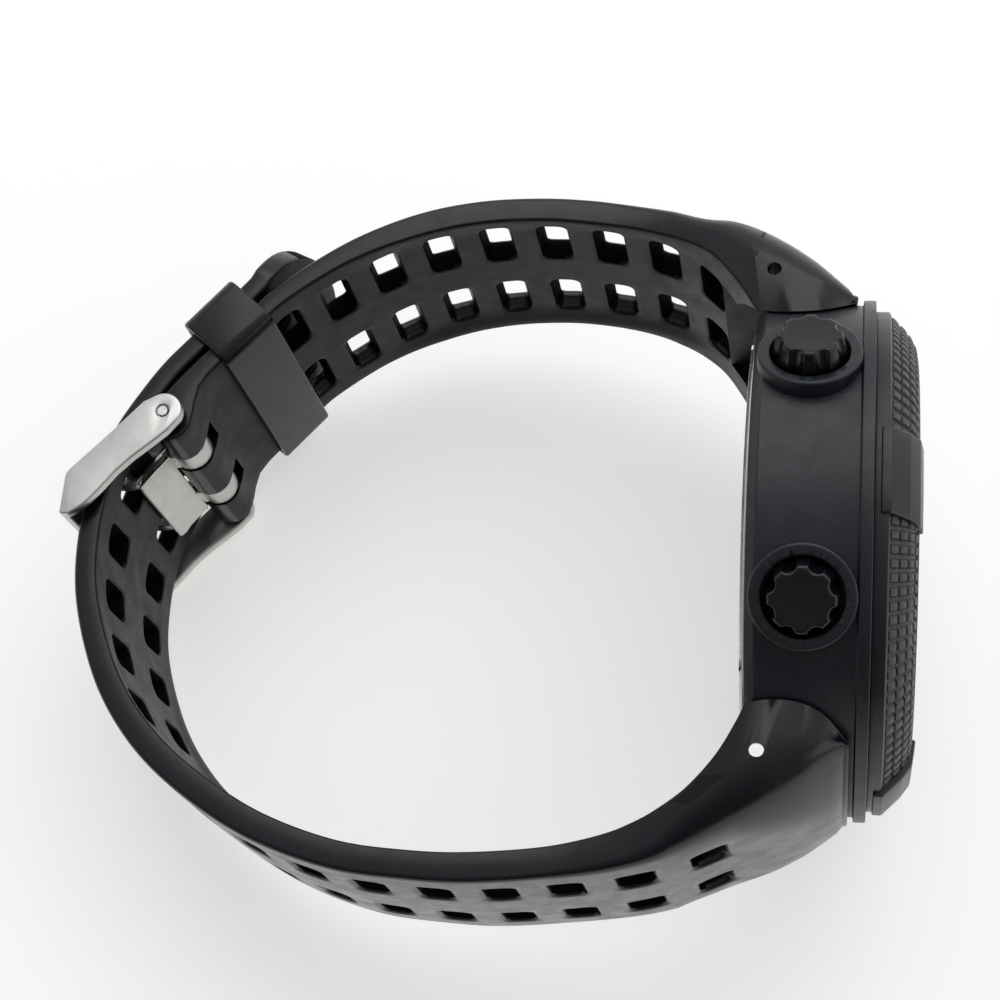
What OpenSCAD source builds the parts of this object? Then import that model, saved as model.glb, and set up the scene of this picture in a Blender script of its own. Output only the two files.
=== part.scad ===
// Digital sports watch on a perforated resin strap, buckled and lying on its 3 o'clock side.
// It is drawn dial up, then laid down: X to 3 o'clock, Y to 12 o'clock, Z out of the dial.
// Z is zero at the middle of the thin flange round the case. Sizes are in millimetres.

/* [Case] */
// Radius of the moulded side wall
case_r = 25.5; // [24.9:0.1:26.3]
// How far the thin flange stands out of the side wall
flange_over = 0.5; // [0.3:0.1:1]
// Height of the thin flange
flange_h = 1.2; // [0.8:0.1:1.6]
// Depth of the case from the middle of the flange to its back face
case_depth = 10.7; // [10.5:0.1:11.5]
// Thickness of the steel back
back_t = 0.9; // [0.7:0.05:1.2]
// Height of the bezel crown over the middle of the flange
bezel_top = 4.75; // [4.6:0.05:5.4]
// How far the four smooth blocks stand out of the bezel
block_over = 0.35; // [0.2:0.05:0.5]
// Width of each smooth block along the bezel
block_w = 8.3; // [6:0.1:10]

/* [Display] */
// Length of the display window from 9 to 3 o'clock
window_w = 24; // [20:0.5:26]
// Height of the display window from 6 to 12 o'clock
window_h = 16; // [13:0.5:17]
// Height of the two large digits
digit_h = 7; // [5:0.5:8]

/* [Pushers] */
// Angle of each pusher from the 3 to 9 o'clock line
pusher_angle = 26.6; // [25:0.2:29]
// Radius of a pusher cap at its foot
cap_r = 3.45; // [3.1:0.05:3.6]
// How far a cap stands out of its collar
cap_proud = 1.95; // [1.6:0.05:2.3]
// How far a pusher moves in
press = 1.2; // [0.8:0.1:1.2]
// Turns of a pusher spring
spring_turns = 4; // [3:0.5:4]
// Radius of a pusher stem
stem_r = 0.75; // [0.6:0.05:0.85]

/* [Strap] */
// Width of the strap away from the case
strap_w = 24.4; // [23:0.2:25]
// Width of the strap ends at the case
strap_end_w = 34; // [32:0.2:35]
// Thickness of the strap between the case and the clasp
strap_t = 2.7; // [2.5:0.05:2.8]
// Length of each strap hole along the strap
hole_l = 3.1; // [3:0.1:3.5]
// Width of each hole across the strap half that the buckle holds
hole_w = 5.4; // [4.8:0.1:6]
// Width of each hole across the strap half that carries the buckle
vent_w = 6.8; // [6:0.1:7.4]
// Distance between the two rows of holes, centre to centre
row_gap = 12.1; // [11.5:0.1:12.7]
// Distance from one hole to the next along a row
hole_pitch = 6; // [5.7:0.1:6.4]
// Radius of the push pins that hold the strap
pin_r = 0.68; // [0.55:0.01:0.8]

/* [Clasp] */
// Thickness of the buckle plate
buckle_t = 1.2; // [1:0.1:1.4]
// Free space between the strap edge and a buckle arm
buckle_gap = 1; // [0.6:0.1:1.2]
// Radius of the spring bar barrel
bar_r = 0.85; // [0.8:0.01:0.9]
// Thickness of the tongue plate
tongue_t = 1; // [0.8:0.05:1.05]
// Width of the keeper along the strap
keeper_w = 6.8; // [5:0.1:7]
// Wall of the keeper over the strap
keeper_t = 0.9; // [0.7:0.05:1.2]

/* [Hidden] */
$fn = 96;
cut = 0.01;                      // how far a cut runs past a face
fit = 0.05;                      // running fit of round pieces
past = 30;                       // half length of a cut that goes right across the watch
deep = 9;                        // half depth of a cut that goes right through a strap

// case
flange_r = case_r + flange_over;
flange_z = flange_h / 2;
grow = case_r - 25.5;            // what the strap follows when the case changes
bezel_r = case_r - 0.6;
neck_r = case_r - 3.1;           // front neck that carries the bezel
neck_z = 3.6;
wall = 5.9;                      // side wall of the case, from the module cavity out
cavity_r = case_r - wall;
lip_r = cavity_r - 0.1;          // inner edge of the bezel
ledge_r = cavity_r - 1.8;        // opening under the window
ledge_z = 1.4;
seat_z = 2.3;                    // floor of the window seat
glass_r = lip_r - 0.2;
gasket_t = 0.2;
glass_t = 1.8;
chamfer = 0.9;
recess = 0.4;                    // recess for the back
back_z = -case_depth + recess;   // inner face of the back
back_r = case_r - 2.4;
groove_r0 = cavity_r + 0.4;
groove_r1 = groove_r0 + 0.8;
groove_d = 0.6;
screw_pcr = back_r - 1.2;
screw_head_r = 1;
screw_r = 0.5;
screw_len = 3;

// module
module_r = cavity_r - 0.3;
mask_t = 0.3;
mask_z = -0.9;                   // underside of the mask
lcd = [window_w + 3, window_h + 4, 1.8];
light_t = 0.6;
zebra = [window_w, 1.6, 1.1];
board_r = cavity_r - 2.1;
board_t = 0.8;
board_z = mask_z - lcd[2] - zebra[2];    // top of the board
under_z = board_z - board_t;
cell_r = 10;
cell_t = 3.2;
cell_x = cell_r + 2.5 - board_r;
cell_z = under_z - 0.5 - cell_t;         // outer face of the coin cell
clip_t = 0.3;
clip_y = cell_r + 2.6;           // screws of the battery clip
clip_head = 0.5;
post_r = 1.6;
rib = [1.6, module_r - clip_y - 1.8, 2.4];   // rib that ties a post to the module frame
module_z = cell_z;
chip_r = 2.6;                    // potted chip and timing crystal on the board
chip_h = 0.9;
crystal_can_r = 0.75;
piezo_r = 8;
piezo_x = cavity_r - piezo_r - 3.6;
piezo_t = 0.25;
buzz_x = 13;
seg_h = 0.1;

// pushers, measured along the pusher from the middle of the watch
push_z = -5.45;
well_r = cap_r + 0.25;
collar_r = well_r + 1.16;
collar_top = case_r + 1.26;
well_floor = case_r - 1.9;
cap_top = collar_top + cap_proud;
cap_face_r = cap_r - 0.55;
cap_foot = well_floor + press + 0.2;
cap_roof = cap_top - 1.7;        // roof of the hollow in the cap
cap_hollow_r = cap_r - 0.95;
stem_top = cap_top - 0.7;
contact_r = board_r - 0.35;      // inner face of a leaf contact
contact_t = 0.25;
stem_end = contact_r + contact_t + press + 0.02;
clip_h = 0.3;
clip_r = 0.12;                   // gap from a clip to the cavity wall
clip_end = sqrt(cavity_r * cavity_r - 1.5 * 1.5) - clip_r;
seal_bore = stem_r + 0.7;
coil_r = 1.85;
wire_r = 0.16;
spring_from = well_floor + 0.02;
spring_to = cap_roof - 0.02;
buzz_turns = 6;
buzz_r = 0.9;

// strap
lug_y = 24.06 + grow;
lug_z = -case_depth + 1.41;
lug_w = 19;
lug_tube_r = 1.7;
half_w = strap_w / 2;
end_half = strap_end_w / 2;
clasp_t = strap_t - 0.3;         // both straps are thinner in the clasp
pin_play = 0.02;

// clasp: a middle point between the two straps under the keeper, with its lean
mid = [19.95, -65.4];
lean = 40;
along = [cos(lean), sin(lean)];
out = [sin(lean), -cos(lean)];
bar = [9.1, -70.4];              // axis of the spring bar
roll_r = 2.3;
tip_at = 13.2;                   // end of the tail, along from the middle point
tip_round = 8;
knuckle_r = 1.95;
knuckle_in = 3.6;                // knuckles lie between these two distances from the middle
knuckle_out = 6.5;
frame_in = half_w + buckle_gap;
frame_out = frame_in + buckle_t;
plate_t = 0.9;
plate_in = strap_t + 76.05;      // cross plate: inner face, outer face and its two edges
plate_out = plate_in + plate_t;
plate_lo = -3.5;
plate_hi = 2.2;
nose_r = 0.5;
bore_r = 0.62;
tip_play = 0.04;
lap_in = 0.1;                    // the two straps lie this far from the middle point's line
lap_out = 0.05;
keeper_gap = 0.15;
keeper_half = clasp_t + lap_in + keeper_gap;
keeper_side = 1.1;
prong_y = 4.1;                   // middle of the prongs, to 12 o'clock
prong_w = 1.5;
prong_end = plate_in - 0.4;
bar_nose = frame_out - 0.05;
tip_travel = buckle_t;           // what the sprung end moves to come out of its arm
bar_half = bar_nose - tip_travel - 0.25;
bar_lip = 0.4;
tip_flange = 0.85;               // depth of the tip's flange in the bore
bore_len = tip_travel + 5.7;
bar_turns = 7;
bar_coil_r = 0.42;
bar_wire_r = 0.11;
bar_spring = [-bar_half + bar_lip + tip_flange, -bar_half + bore_len];

// a point of the clasp, s along the strap from the middle point and n outward
function K(s, n) = mid + s * along + n * out;

// smooth curve through points, n steps a span, up to the point with index last
function at(p, i) = p[max(0, min(len(p) - 1, i))];
function cr(a, b, c, d, t) =
    0.5 * (2 * b + (c - a) * t + (2 * a - 5 * b + 4 * c - d) * t * t + (3 * b - a - 3 * c + d) * t * t * t);
function curve(p, n, last) = [
    for (i = [0 : last - 1]) for (k = [0 : n - 1]) cr(at(p, i - 1), p[i], p[i + 1], at(p, i + 2), k / n),
    p[last]
];
function reverse(p) = [for (i = [len(p) - 1 : -1 : 0]) p[i]];
function way(p, i) = let (d = at(p, i + 1) - at(p, i - 1)) [d[0], d[1]] / norm([d[0], d[1]]);
function outward(p, i, side) = let (d = way(p, i)) side * [-d[1], d[0]];
function flat(p) = [for (q = p) [q[0], q[1]]];

// how far a point near the case moves out when the case grows
function shift(z) = grow * max(0, min(1, (z + 60) / 45));
function grown(p, side) = [for (q = p) [q[0] + side * shift(q[1]), q[1], q[2]]];

// inner face of each strap half: distance to 12 o'clock, height, thickness there
buckle_path = concat(grown([
    [18.6, -10.1, 9], [20.9, -11.5, 9], [23.9, -13.3, 8], [26.8, -15.5, 6],
    [28.7, -17.9, strap_t + 0.9], [30.1, -20.7, strap_t + 0.4], [31.1, -23.9, strap_t + 0.15],
    [31.9, -28.5, strap_t + 0.1], [32.3, -33.5, strap_t], [32, -39.5, strap_t], [30.8, -45.3, strap_t],
    [28.6, -50.9, strap_t - 0.1], [25.7, -55.7, strap_t - 0.2]], 1),
    [for (s = [4.6, 0, -5.5, -10.2]) concat(K(s, -clasp_t - lap_in), clasp_t)]);
tail_path = concat(grown([
    [-18.6, -10.1, 9], [-21.2, -11.2, 9], [-24.3, -13, 8], [-27, -15.4, 6],
    [-29.1, -18, strap_t + 1.8], [-30.7, -20.6, strap_t + 1.1], [-31.9, -23.7, strap_t + 0.6],
    [-33.1, -28.7, strap_t + 0.15], [-33.9, -35.5, strap_t + 0.1], [-34, -41.3, strap_t],
    [-33.4, -48.2, strap_t], [-31.2, -55.6, strap_t], [-27.9, -61.8, strap_t], [-24, -67, strap_t - 0.05],
    [-19.3, -71, strap_t - 0.1], [-14.1, -73.7, strap_t - 0.15], [-8.4, -75.5, strap_t - 0.2],
    [-2.6, -76, strap_t - 0.25], [2.4, -75.5, clasp_t], [7.2, -74.1, clasp_t], [11.3, -72, clasp_t]], -1),
    [for (s = [-6.5, 0, 5.6]) concat(K(s, lap_out), clasp_t)], [concat(K(tip_at, 0.9), clasp_t)]);
band_from = 4;                   // first point whose outer face follows the thickness
straight = 3;                    // last points that lie in line
block_top = -flange_z - 0.5;
block_out = [[26.8, block_top], [28.4, -4.6], [29.9, -8], [31.1, -11.8]];

function inner(p) = let (last = len(p) - 1 - straight)
    concat(curve(flat(p), 4, last), [for (i = [last + 1 : len(p) - 1]) flat(p)[i]]);
function outer_points(p, side) = concat(
    [for (q = block_out) [side * (q[0] + grow), q[1]]],
    [for (i = [band_from : len(p) - 1]) [p[i][0], p[i][1]] + p[i][2] * outward(p, i, side)]);
function outer(p, side) = let (q = outer_points(p, side), last = len(q) - 1 - straight)
    concat(curve(q, 4, last), [for (i = [last + 1 : len(q) - 1]) q[i]]);

buckle_in = inner(buckle_path);
buckle_out = outer(buckle_path, 1);
tail_in = inner(tail_path);
tail_out = outer(tail_path, -1);

// distance along a line of points, and the place at a distance
function run(p) = [for (i = 0, s = 0; i < len(p); s = s + (i + 1 < len(p) ? norm(p[i + 1] - p[i]) : 0), i = i + 1) s];
buckle_run = run(buckle_in);
tail_run = run(tail_in);
function place(p, r, s) = [
    lookup(s, [for (i = [0 : len(p) - 1]) [r[i], p[i][0]]]),
    lookup(s, [for (i = [0 : len(p) - 1]) [r[i], p[i][1]]])
];
function turn(p, r, s) = let (d = place(p, r, s + 0.5) - place(p, r, s - 0.5)) atan2(d[1], d[0]);

// the prongs hold the tail in the pair of holes that lies over the cross plate's upper edge
tail_hold = tail_run[4 * 17] + 6;
first_hole = 10.6;
buckle_holes = [for (k = [0 : 8]) first_hole + k * hole_pitch];
tail_holes = [for (k = [-20 : 4]) if (tail_hold + k * hole_pitch > 7.5) tail_hold + k * hole_pitch];

// resting on two caps and on the buckle: the lean at which both are equally low
function low_cap(t) = cos(t) * cap_top * cos(pusher_angle) - sin(t) * push_z
    + cap_face_r * sqrt(pow(cos(t) * sin(pusher_angle), 2) + pow(sin(t), 2));
function low_buckle(t) = cos(t) * frame_out + sin(t) * plate_out;
function level(a, b, n) = let (m = (a + b) / 2)
    n == 0 ? m : low_cap(m) > low_buckle(m) ? level(m, b, n - 1) : level(a, m, n - 1);
rest_tilt = level(0, 25, 30);

// middle line of a coil, eight points a turn, and its least gap to itself measured on those points
per_turn = 8;
function coil_line(turns, radius, wire, z0, z1) = let (n = round(turns * per_turn))
    [for (i = [0 : n]) [radius * cos(360 * i / per_turn), radius * sin(360 * i / per_turn),
        z0 + wire + i * (z1 - z0 - 2 * wire) / n]];
function least_gap(line, wire) = min([for (i = [0 : len(line) - 1]) for (j = [i + 5 : 1 : len(line) - 1])
    norm(line[j] - line[i])]) - 2 * wire;

// bezel outline from its foot over the crown, and the outline of the smooth blocks
crown = [[bezel_r, flange_z], [bezel_r, 1.9], [bezel_r - 0.5, 2.3], [bezel_r - 1.7, 3.5],
    [bezel_r - 2.9, bezel_top - 0.35], [lip_r + 1.1, bezel_top], [lip_r, bezel_top]];
blocks = [[bezel_r + block_over, 1.2], [bezel_r + block_over, 2.1], [bezel_r - 1.4, 3.5 + block_over],
    [bezel_r - 2.7, bezel_top - 0.35 + block_over], [lip_r + 0.2, bezel_top + block_over]];

high_x = max([for (p = concat(crown, blocks)) sin(rest_tilt) * p[0] + cos(rest_tilt) * p[1]]);
low_x = -sin(rest_tilt) * frame_out - cos(rest_tilt) * plate_out;
high_y = max([for (p = buckle_out) p[0]]);
low_y = min([for (p = tail_out) p[0]]);
lay_at = [-(high_x + low_x) / 2, -(high_y + low_y) / 2, low_cap(rest_tilt)];

echo(rest_tilt = rest_tilt, lay_at = lay_at, lug = [lug_y, lug_z], box = [high_x - low_x, high_y - low_y]);
echo(tail_hold = place(tail_in, tail_run, tail_hold), tail_length = tail_run[len(tail_run) - 1]);
echo(spring_gaps = [
    least_gap(coil_line(spring_turns, coil_r, wire_r, spring_from, spring_to), wire_r),
    least_gap(coil_line(bar_turns, bar_coil_r, bar_wire_r, bar_spring[0], bar_spring[1]), bar_wire_r),
    least_gap(coil_line(buzz_turns, buzz_r, wire_r, back_z + piezo_t, under_z), wire_r)]);

// colours as photographed
resin = [0.06, 0.065, 0.075];
satin = [0.1, 0.105, 0.115];
steel = [0.75, 0.74, 0.72];

// lays the watch on its side
module lay() {
    translate(lay_at) rotate([0, 90 - rest_tilt, 0]) children();
}

// places children on a pusher's axis, with their Z outward
module on_pusher(side_x, side_y) {
    angle = side_x > 0 ? side_y * pusher_angle : 180 - side_y * pusher_angle;
    translate([0, 0, push_z]) rotate([0, 0, angle]) rotate([0, 90, 0]) children();
}

module on_all_pushers() {
    for (sx = [-1, 1]) for (sy = [-1, 1]) on_pusher(sx, sy) children();
}

// a side outline, given as points to 12 o'clock and up, drawn out across the watch
module across(w) {
    rotate([90, 0, 90]) translate([0, 0, -w / 2]) linear_extrude(w) children();
}

// a cylinder across the watch at a point of the side outline
module rod(p, r, x0, x1, sides = 48) {
    translate([x0, p[0], p[1]]) rotate([0, 90, 0]) cylinder(r = r, h = x1 - x0, $fn = sides);
}

// a round wire that climbs in turns: one closed tube
module coil(turns, radius, wire, z0, z1) {
    sides = 6;
    line = coil_line(turns, radius, wire, z0, z1);
    n = len(line) - 1;
    pts = [for (q = line) for (k = [0 : sides - 1]) let (b = 360 * k / sides, f = 1 + wire * cos(b) / radius)
        [q[0] * f, q[1] * f, q[2] + wire * sin(b)]];
    skin = [for (i = [0 : n - 1]) for (k = [0 : sides - 1]) for (h = [0, 1])
        let (a = i * sides + k, b = i * sides + (k + 1) % sides)
        h == 0 ? [a, a + sides, b] : [b, a + sides, b + sides]];
    ends = concat([for (k = [1 : sides - 2]) [0, k, k + 1]],
        [for (k = [1 : sides - 2]) [n * sides, n * sides + k + 1, n * sides + k]]);
    polyhedron(points = pts, faces = concat(skin, ends), convexity = 10);
}

module case_body() {
    color(resin) lay() difference() {
        union() {
            rotate_extrude() polygon([[0, -case_depth], [case_r - chamfer, -case_depth],
                [case_r, -case_depth + chamfer], [case_r, -flange_z], [flange_r, -flange_z],
                [flange_r, flange_z], [neck_r, flange_z], [neck_r, neck_z], [0, neck_z]]);
            on_all_pushers() translate([0, 0, cavity_r + 2]) cylinder(r = collar_r, h = collar_top - cavity_r - 2);
            intersection() {
                for (s = [-1, 1]) rod([s * lug_y, lug_z], lug_tube_r, -lug_w / 2, lug_w / 2);
                translate([-lug_w, -past, -case_depth]) cube([2 * lug_w, 2 * past, 20]);
            }
        }
        // window seat, opening, module cavity and the recess of the back
        translate([0, 0, seat_z]) cylinder(r = glass_r + 0.05, h = 10);
        translate([0, 0, 0]) cylinder(r = ledge_r, h = 10);
        translate([0, 0, back_z - cut]) cylinder(r = cavity_r, h = ledge_z - back_z + cut);
        translate([0, 0, -case_depth - 1]) cylinder(r = back_r + 0.1, h = 1 + recess);
        translate([0, 0, back_z - cut]) difference() {
            cylinder(r = groove_r1, h = groove_d + cut);
            translate([0, 0, -1]) cylinder(r = groove_r0, h = groove_d + 2);
        }
        for (a = [45 : 90 : 315]) rotate([0, 0, a]) translate([screw_pcr, 0, back_z - cut])
            cylinder(r = screw_r, h = screw_len, $fn = 24);
        // wells, seal bores and stem bores of the pushers
        on_all_pushers() {
            translate([0, 0, well_floor]) cylinder(r = well_r, h = 10);
            translate([0, 0, well_floor - 1.2]) cylinder(r = seal_bore, h = 2, $fn = 48);
            translate([0, 0, cavity_r - 2]) cylinder(r = stem_r + fit, h = 8, $fn = 48);
        }
        for (s = [-1, 1]) rod([s * lug_y, lug_z], pin_r + pin_play, -lug_w, lug_w);
    }
}

module bezel() {
    color(satin) lay() union() {
        rotate_extrude() polygon(concat(crown, [[lip_r, neck_z + 0.05], [neck_r + fit, neck_z + 0.05],
            [neck_r + fit, flange_z]]));
        intersection() {
            rotate_extrude() polygon(concat(blocks, [[lip_r + 0.2, neck_z + 0.2], [neck_r + 0.5, neck_z + 0.2],
                [neck_r + 0.5, 1.2]]));
            union() {
                translate([-past, -block_w / 2, 0]) cube([2 * past, block_w, 8]);
                translate([-block_w / 2, -past, 0]) cube([block_w, 2 * past, 8]);
            }
        }
    }
}

module crystal() {
    color([0.5, 0.55, 0.6, 0.4]) lay() translate([0, 0, seat_z + gasket_t]) cylinder(r = glass_r, h = glass_t);
}

module crystal_gasket() {
    color([0.1, 0.1, 0.1]) lay() translate([0, 0, seat_z]) difference() {
        cylinder(r = glass_r, h = gasket_t);
        translate([0, 0, -1]) cylinder(r = ledge_r + 0.1, h = 2);
    }
}

module dial_ring() {
    color(resin) lay() rotate_extrude() polygon([[ledge_r - 2.4, mask_z + mask_t], [ledge_r - 0.6, seat_z - 0.1],
        [ledge_r - 0.15, seat_z - 0.1], [ledge_r - 0.15, ledge_z - 0.05], [cavity_r - 0.1, ledge_z - 0.05],
        [cavity_r - 0.1, mask_z + mask_t]]);
}

module dial_mask() {
    color([0.12, 0.12, 0.13]) lay() translate([0, 0, mask_z]) difference() {
        cylinder(r = module_r, h = mask_t);
        translate([-window_w / 2, -window_h / 2, -1]) cube([window_w, window_h, 3]);
    }
}

module lcd_glass() {
    color([0.62, 0.66, 0.58]) lay() translate([-lcd[0] / 2, -lcd[1] / 2, mask_z - lcd[2]]) cube(lcd);
}

// one digit of seven bars, as the list of bars that are shown
module digit(bars, h) {
    w = h * 0.5;
    t = h * 0.12;
    g = t * 0.6;
    for (b = bars) {
        if (b == 0) translate([-w / 2 + g, h - t, 0]) cube([w - 2 * g, t, seg_h]);
        if (b == 1) translate([w / 2 - t, h / 2 + g / 2, 0]) cube([t, h / 2 - t - g, seg_h]);
        if (b == 2) translate([w / 2 - t, t + g / 2, 0]) cube([t, h / 2 - t - g, seg_h]);
        if (b == 3) translate([-w / 2 + g, 0, 0]) cube([w - 2 * g, t, seg_h]);
        if (b == 4) translate([-w / 2, t + g / 2, 0]) cube([t, h / 2 - t - g, seg_h]);
        if (b == 5) translate([-w / 2, h / 2 + g / 2, 0]) cube([t, h / 2 - t - g, seg_h]);
        if (b == 6) translate([-w / 2 + g, h / 2 - t / 2, 0]) cube([w - 2 * g, t, seg_h]);
    }
}

// the plain time 10:08 over the seconds 30
module lcd_segments() {
    step = digit_h * 0.66;
    color([0.05, 0.06, 0.06]) lay() translate([0, -digit_h / 4, mask_z]) {
        translate([-2.1 * step + 1, 0, 0]) digit([1, 2], digit_h);
        translate([-1.1 * step + 1, 0, 0]) digit([0, 1, 2, 3, 4, 5], digit_h);
        for (y = [0.3, 0.62]) translate([-0.5 * step + 0.8, y * digit_h, 0]) cube([0.7, 0.7, seg_h]);
        translate([0.1 * step + 0.9, 0, 0]) digit([0, 1, 2, 3, 4, 5], digit_h);
        translate([1.1 * step + 0.9, 0, 0]) digit([0, 1, 2, 3, 4, 5, 6], digit_h);
        translate([-0.4, -0.62 * digit_h, 0]) digit([0, 1, 2, 3, 6], digit_h * 0.45);
        translate([2.2, -0.62 * digit_h, 0]) digit([0, 1, 2, 3, 4, 5], digit_h * 0.45);
    }
}

module backlight_panel() {
    color([0.8, 0.85, 0.7]) lay() translate([-lcd[0] / 2 + 2, -lcd[1] / 2 + 3, mask_z - lcd[2] - light_t])
        cube([lcd[0] - 4, lcd[1] - 6, light_t]);
}

module zebra_strips() {
    color([0.85, 0.5, 0.5]) lay() for (s = [-1, 1])
        translate([-zebra[0] / 2, s * (lcd[1] / 2 - 1.2) - zebra[1] / 2, board_z]) cube(zebra);
}

module module_frame() {
    color([0.85, 0.85, 0.82]) lay() {
        difference() {
            translate([0, 0, module_z]) cylinder(r = module_r, h = mask_z - module_z);
            translate([-lcd[0] / 2 - fit, -lcd[1] / 2 - fit, mask_z - lcd[2]])
                cube([lcd[0] + 2 * fit, lcd[1] + 2 * fit, 5]);
            translate([-zebra[0] / 2 - fit, -lcd[1] / 2 + 0.3, board_z - 1]) cube([zebra[0] + 2 * fit, lcd[1] - 0.6, 5]);
            translate([0, 0, module_z - 1]) cylinder(r = board_r + 0.1, h = board_z - module_z + 1);
            on_all_pushers() translate([-7, -2.2, contact_r]) cube([9.6, 4.4, 5]);
        }
        // posts of the battery clip, tied to the ring by ribs
        for (s = [-1, 1]) difference() {
            union() {
                translate([cell_x, s * clip_y, module_z]) cylinder(r = post_r, h = under_z - module_z);
                translate([cell_x - rib[0] / 2, s > 0 ? clip_y : -clip_y - rib[1], module_z]) cube(rib);
            }
            translate([cell_x, s * clip_y, module_z - cut]) cylinder(r = screw_r, h = 2.2, $fn = 24);
        }
    }
}

module circuit_board() {
    color([0.1, 0.35, 0.18]) lay() translate([0, 0, under_z]) cylinder(r = board_r, h = board_t);
}

module board_parts() {
    color([0.08, 0.08, 0.09]) lay() {
        translate([board_r - 7, board_r - 11.5, under_z - chip_h]) cylinder(r = chip_r, h = chip_h);
        translate([board_r - 9.5, 10.5 - board_r, under_z - crystal_can_r]) rotate([0, 90, 0])
            cylinder(r = crystal_can_r, h = 5, $fn = 32);
    }
}

module pusher_contacts() {
    color([0.8, 0.68, 0.35]) lay() on_all_pushers()
        translate([push_z - under_z, -1.5, contact_r]) cube([2.6, 3, contact_t]);
}

module battery() {
    color(steel) lay() translate([cell_x, 0, cell_z]) {
        cylinder(r = cell_r, h = cell_t - 0.4);
        translate([0, 0, cell_t - 0.4 - cut]) cylinder(r = cell_r - 1, h = 0.4 + cut);
    }
}

module battery_clip() {
    color(steel) lay() difference() {
        translate([cell_x - 3, -clip_y - 1.8, cell_z - clip_t]) cube([6, 2 * clip_y + 3.6, clip_t]);
        for (s = [-1, 1]) translate([cell_x, s * clip_y, cell_z - 1]) cylinder(r = screw_r + 0.1, h = 2, $fn = 24);
    }
}

module battery_clip_screws() {
    color(steel) lay() for (s = [-1, 1]) translate([cell_x, s * clip_y, 0]) difference() {
        union() {
            translate([0, 0, cell_z - clip_t - clip_head]) cylinder(r = 1.1, h = clip_head, $fn = 48);
            translate([0, 0, cell_z - clip_t - cut]) cylinder(r = screw_r - 0.02, h = 2.2, $fn = 24);
        }
        translate([-2, -0.15, cell_z - clip_t - clip_head - cut]) cube([4, 0.3, 0.3]);
    }
}

module piezo_disc() {
    color([0.85, 0.7, 0.35]) lay() translate([piezo_x, 0, back_z]) cylinder(r = piezo_r, h = piezo_t);
}

module buzzer_spring() {
    color(steel) lay() translate([buzz_x, 0, 0])
        coil(buzz_turns, buzz_r, wire_r, back_z + piezo_t, under_z);
}

module back_gasket() {
    color([0.05, 0.05, 0.05]) lay() translate([0, 0, back_z]) difference() {
        cylinder(r = groove_r1 - 0.08, h = groove_d - 0.05);
        translate([0, 0, -1]) cylinder(r = groove_r0 + 0.08, h = 3);
    }
}

module case_back() {
    color(steel) lay() difference() {
        rotate_extrude() polygon([[0, back_z], [back_r, back_z], [back_r, back_z - back_t + 0.35],
            [back_r - 0.5, back_z - back_t], [0, back_z - back_t]]);
        for (a = [45 : 90 : 315]) rotate([0, 0, a]) translate([screw_pcr, 0, back_z - back_t]) {
            translate([0, 0, -cut]) cylinder(r = screw_head_r + fit, h = 0.4 + cut, $fn = 48);
            cylinder(r = screw_r + fit, h = 3, $fn = 24);
        }
    }
}

module case_back_screws() {
    color([0.8, 0.8, 0.8]) lay() for (a = [45 : 90 : 315]) rotate([0, 0, a])
        translate([screw_pcr, 0, back_z - back_t]) difference() {
            union() {
                cylinder(r = screw_head_r, h = 0.4, $fn = 48);
                cylinder(r = screw_r - 0.02, h = back_t + screw_len - 0.2, $fn = 24);
            }
            translate([-2, -0.12, -cut]) cube([4, 0.24, 0.2]);
        }
}

module cap() {
    difference() {
        rotate_extrude() polygon([[0, cap_foot], [cap_r, cap_foot], [cap_r, collar_top - 0.2],
            [cap_face_r + 0.15, cap_top - 0.25], [cap_face_r, cap_top], [0, cap_top]]);
        difference() {
            translate([0, 0, cap_foot - cut]) cylinder(r = cap_hollow_r, h = cap_roof - cap_foot + cut);
            translate([0, 0, cap_foot + 0.4]) cylinder(r = stem_r + 0.55, h = 5);
        }
        translate([0, 0, cap_foot - 1]) cylinder(r = stem_r, h = stem_top - cap_foot + 1, $fn = 48);
        // eight thumb flutes round the flank
        for (a = [22.5 : 45 : 360]) rotate([0, 0, a]) translate([cap_r + 0.55, 0, collar_top - 0.45])
            rotate([0, -14, 0]) cylinder(r = 0.85, h = 4, $fn = 32);
    }
}

module stem() {
    difference() {
        translate([0, 0, stem_end]) cylinder(r = stem_r, h = stem_top - stem_end, $fn = 48);
        translate([0, 0, clip_end - clip_h - 0.03]) difference() {
            cylinder(r = stem_r + 1, h = clip_h + 0.06);
            translate([0, 0, -1]) cylinder(r = stem_r - 0.2, h = 3, $fn = 48);
        }
    }
}

module clip() {
    translate([0, 0, clip_end - clip_h]) difference() {
        cylinder(r = 1.5, h = clip_h, $fn = 48);
        translate([0, 0, -1]) cylinder(r = stem_r - 0.15, h = 3, $fn = 48);
        translate([0, -0.45, -1]) cube([3, 0.9, 3]);
    }
}

module return_spring() {
    coil(spring_turns, coil_r, wire_r, spring_from, spring_to);
}

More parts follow.
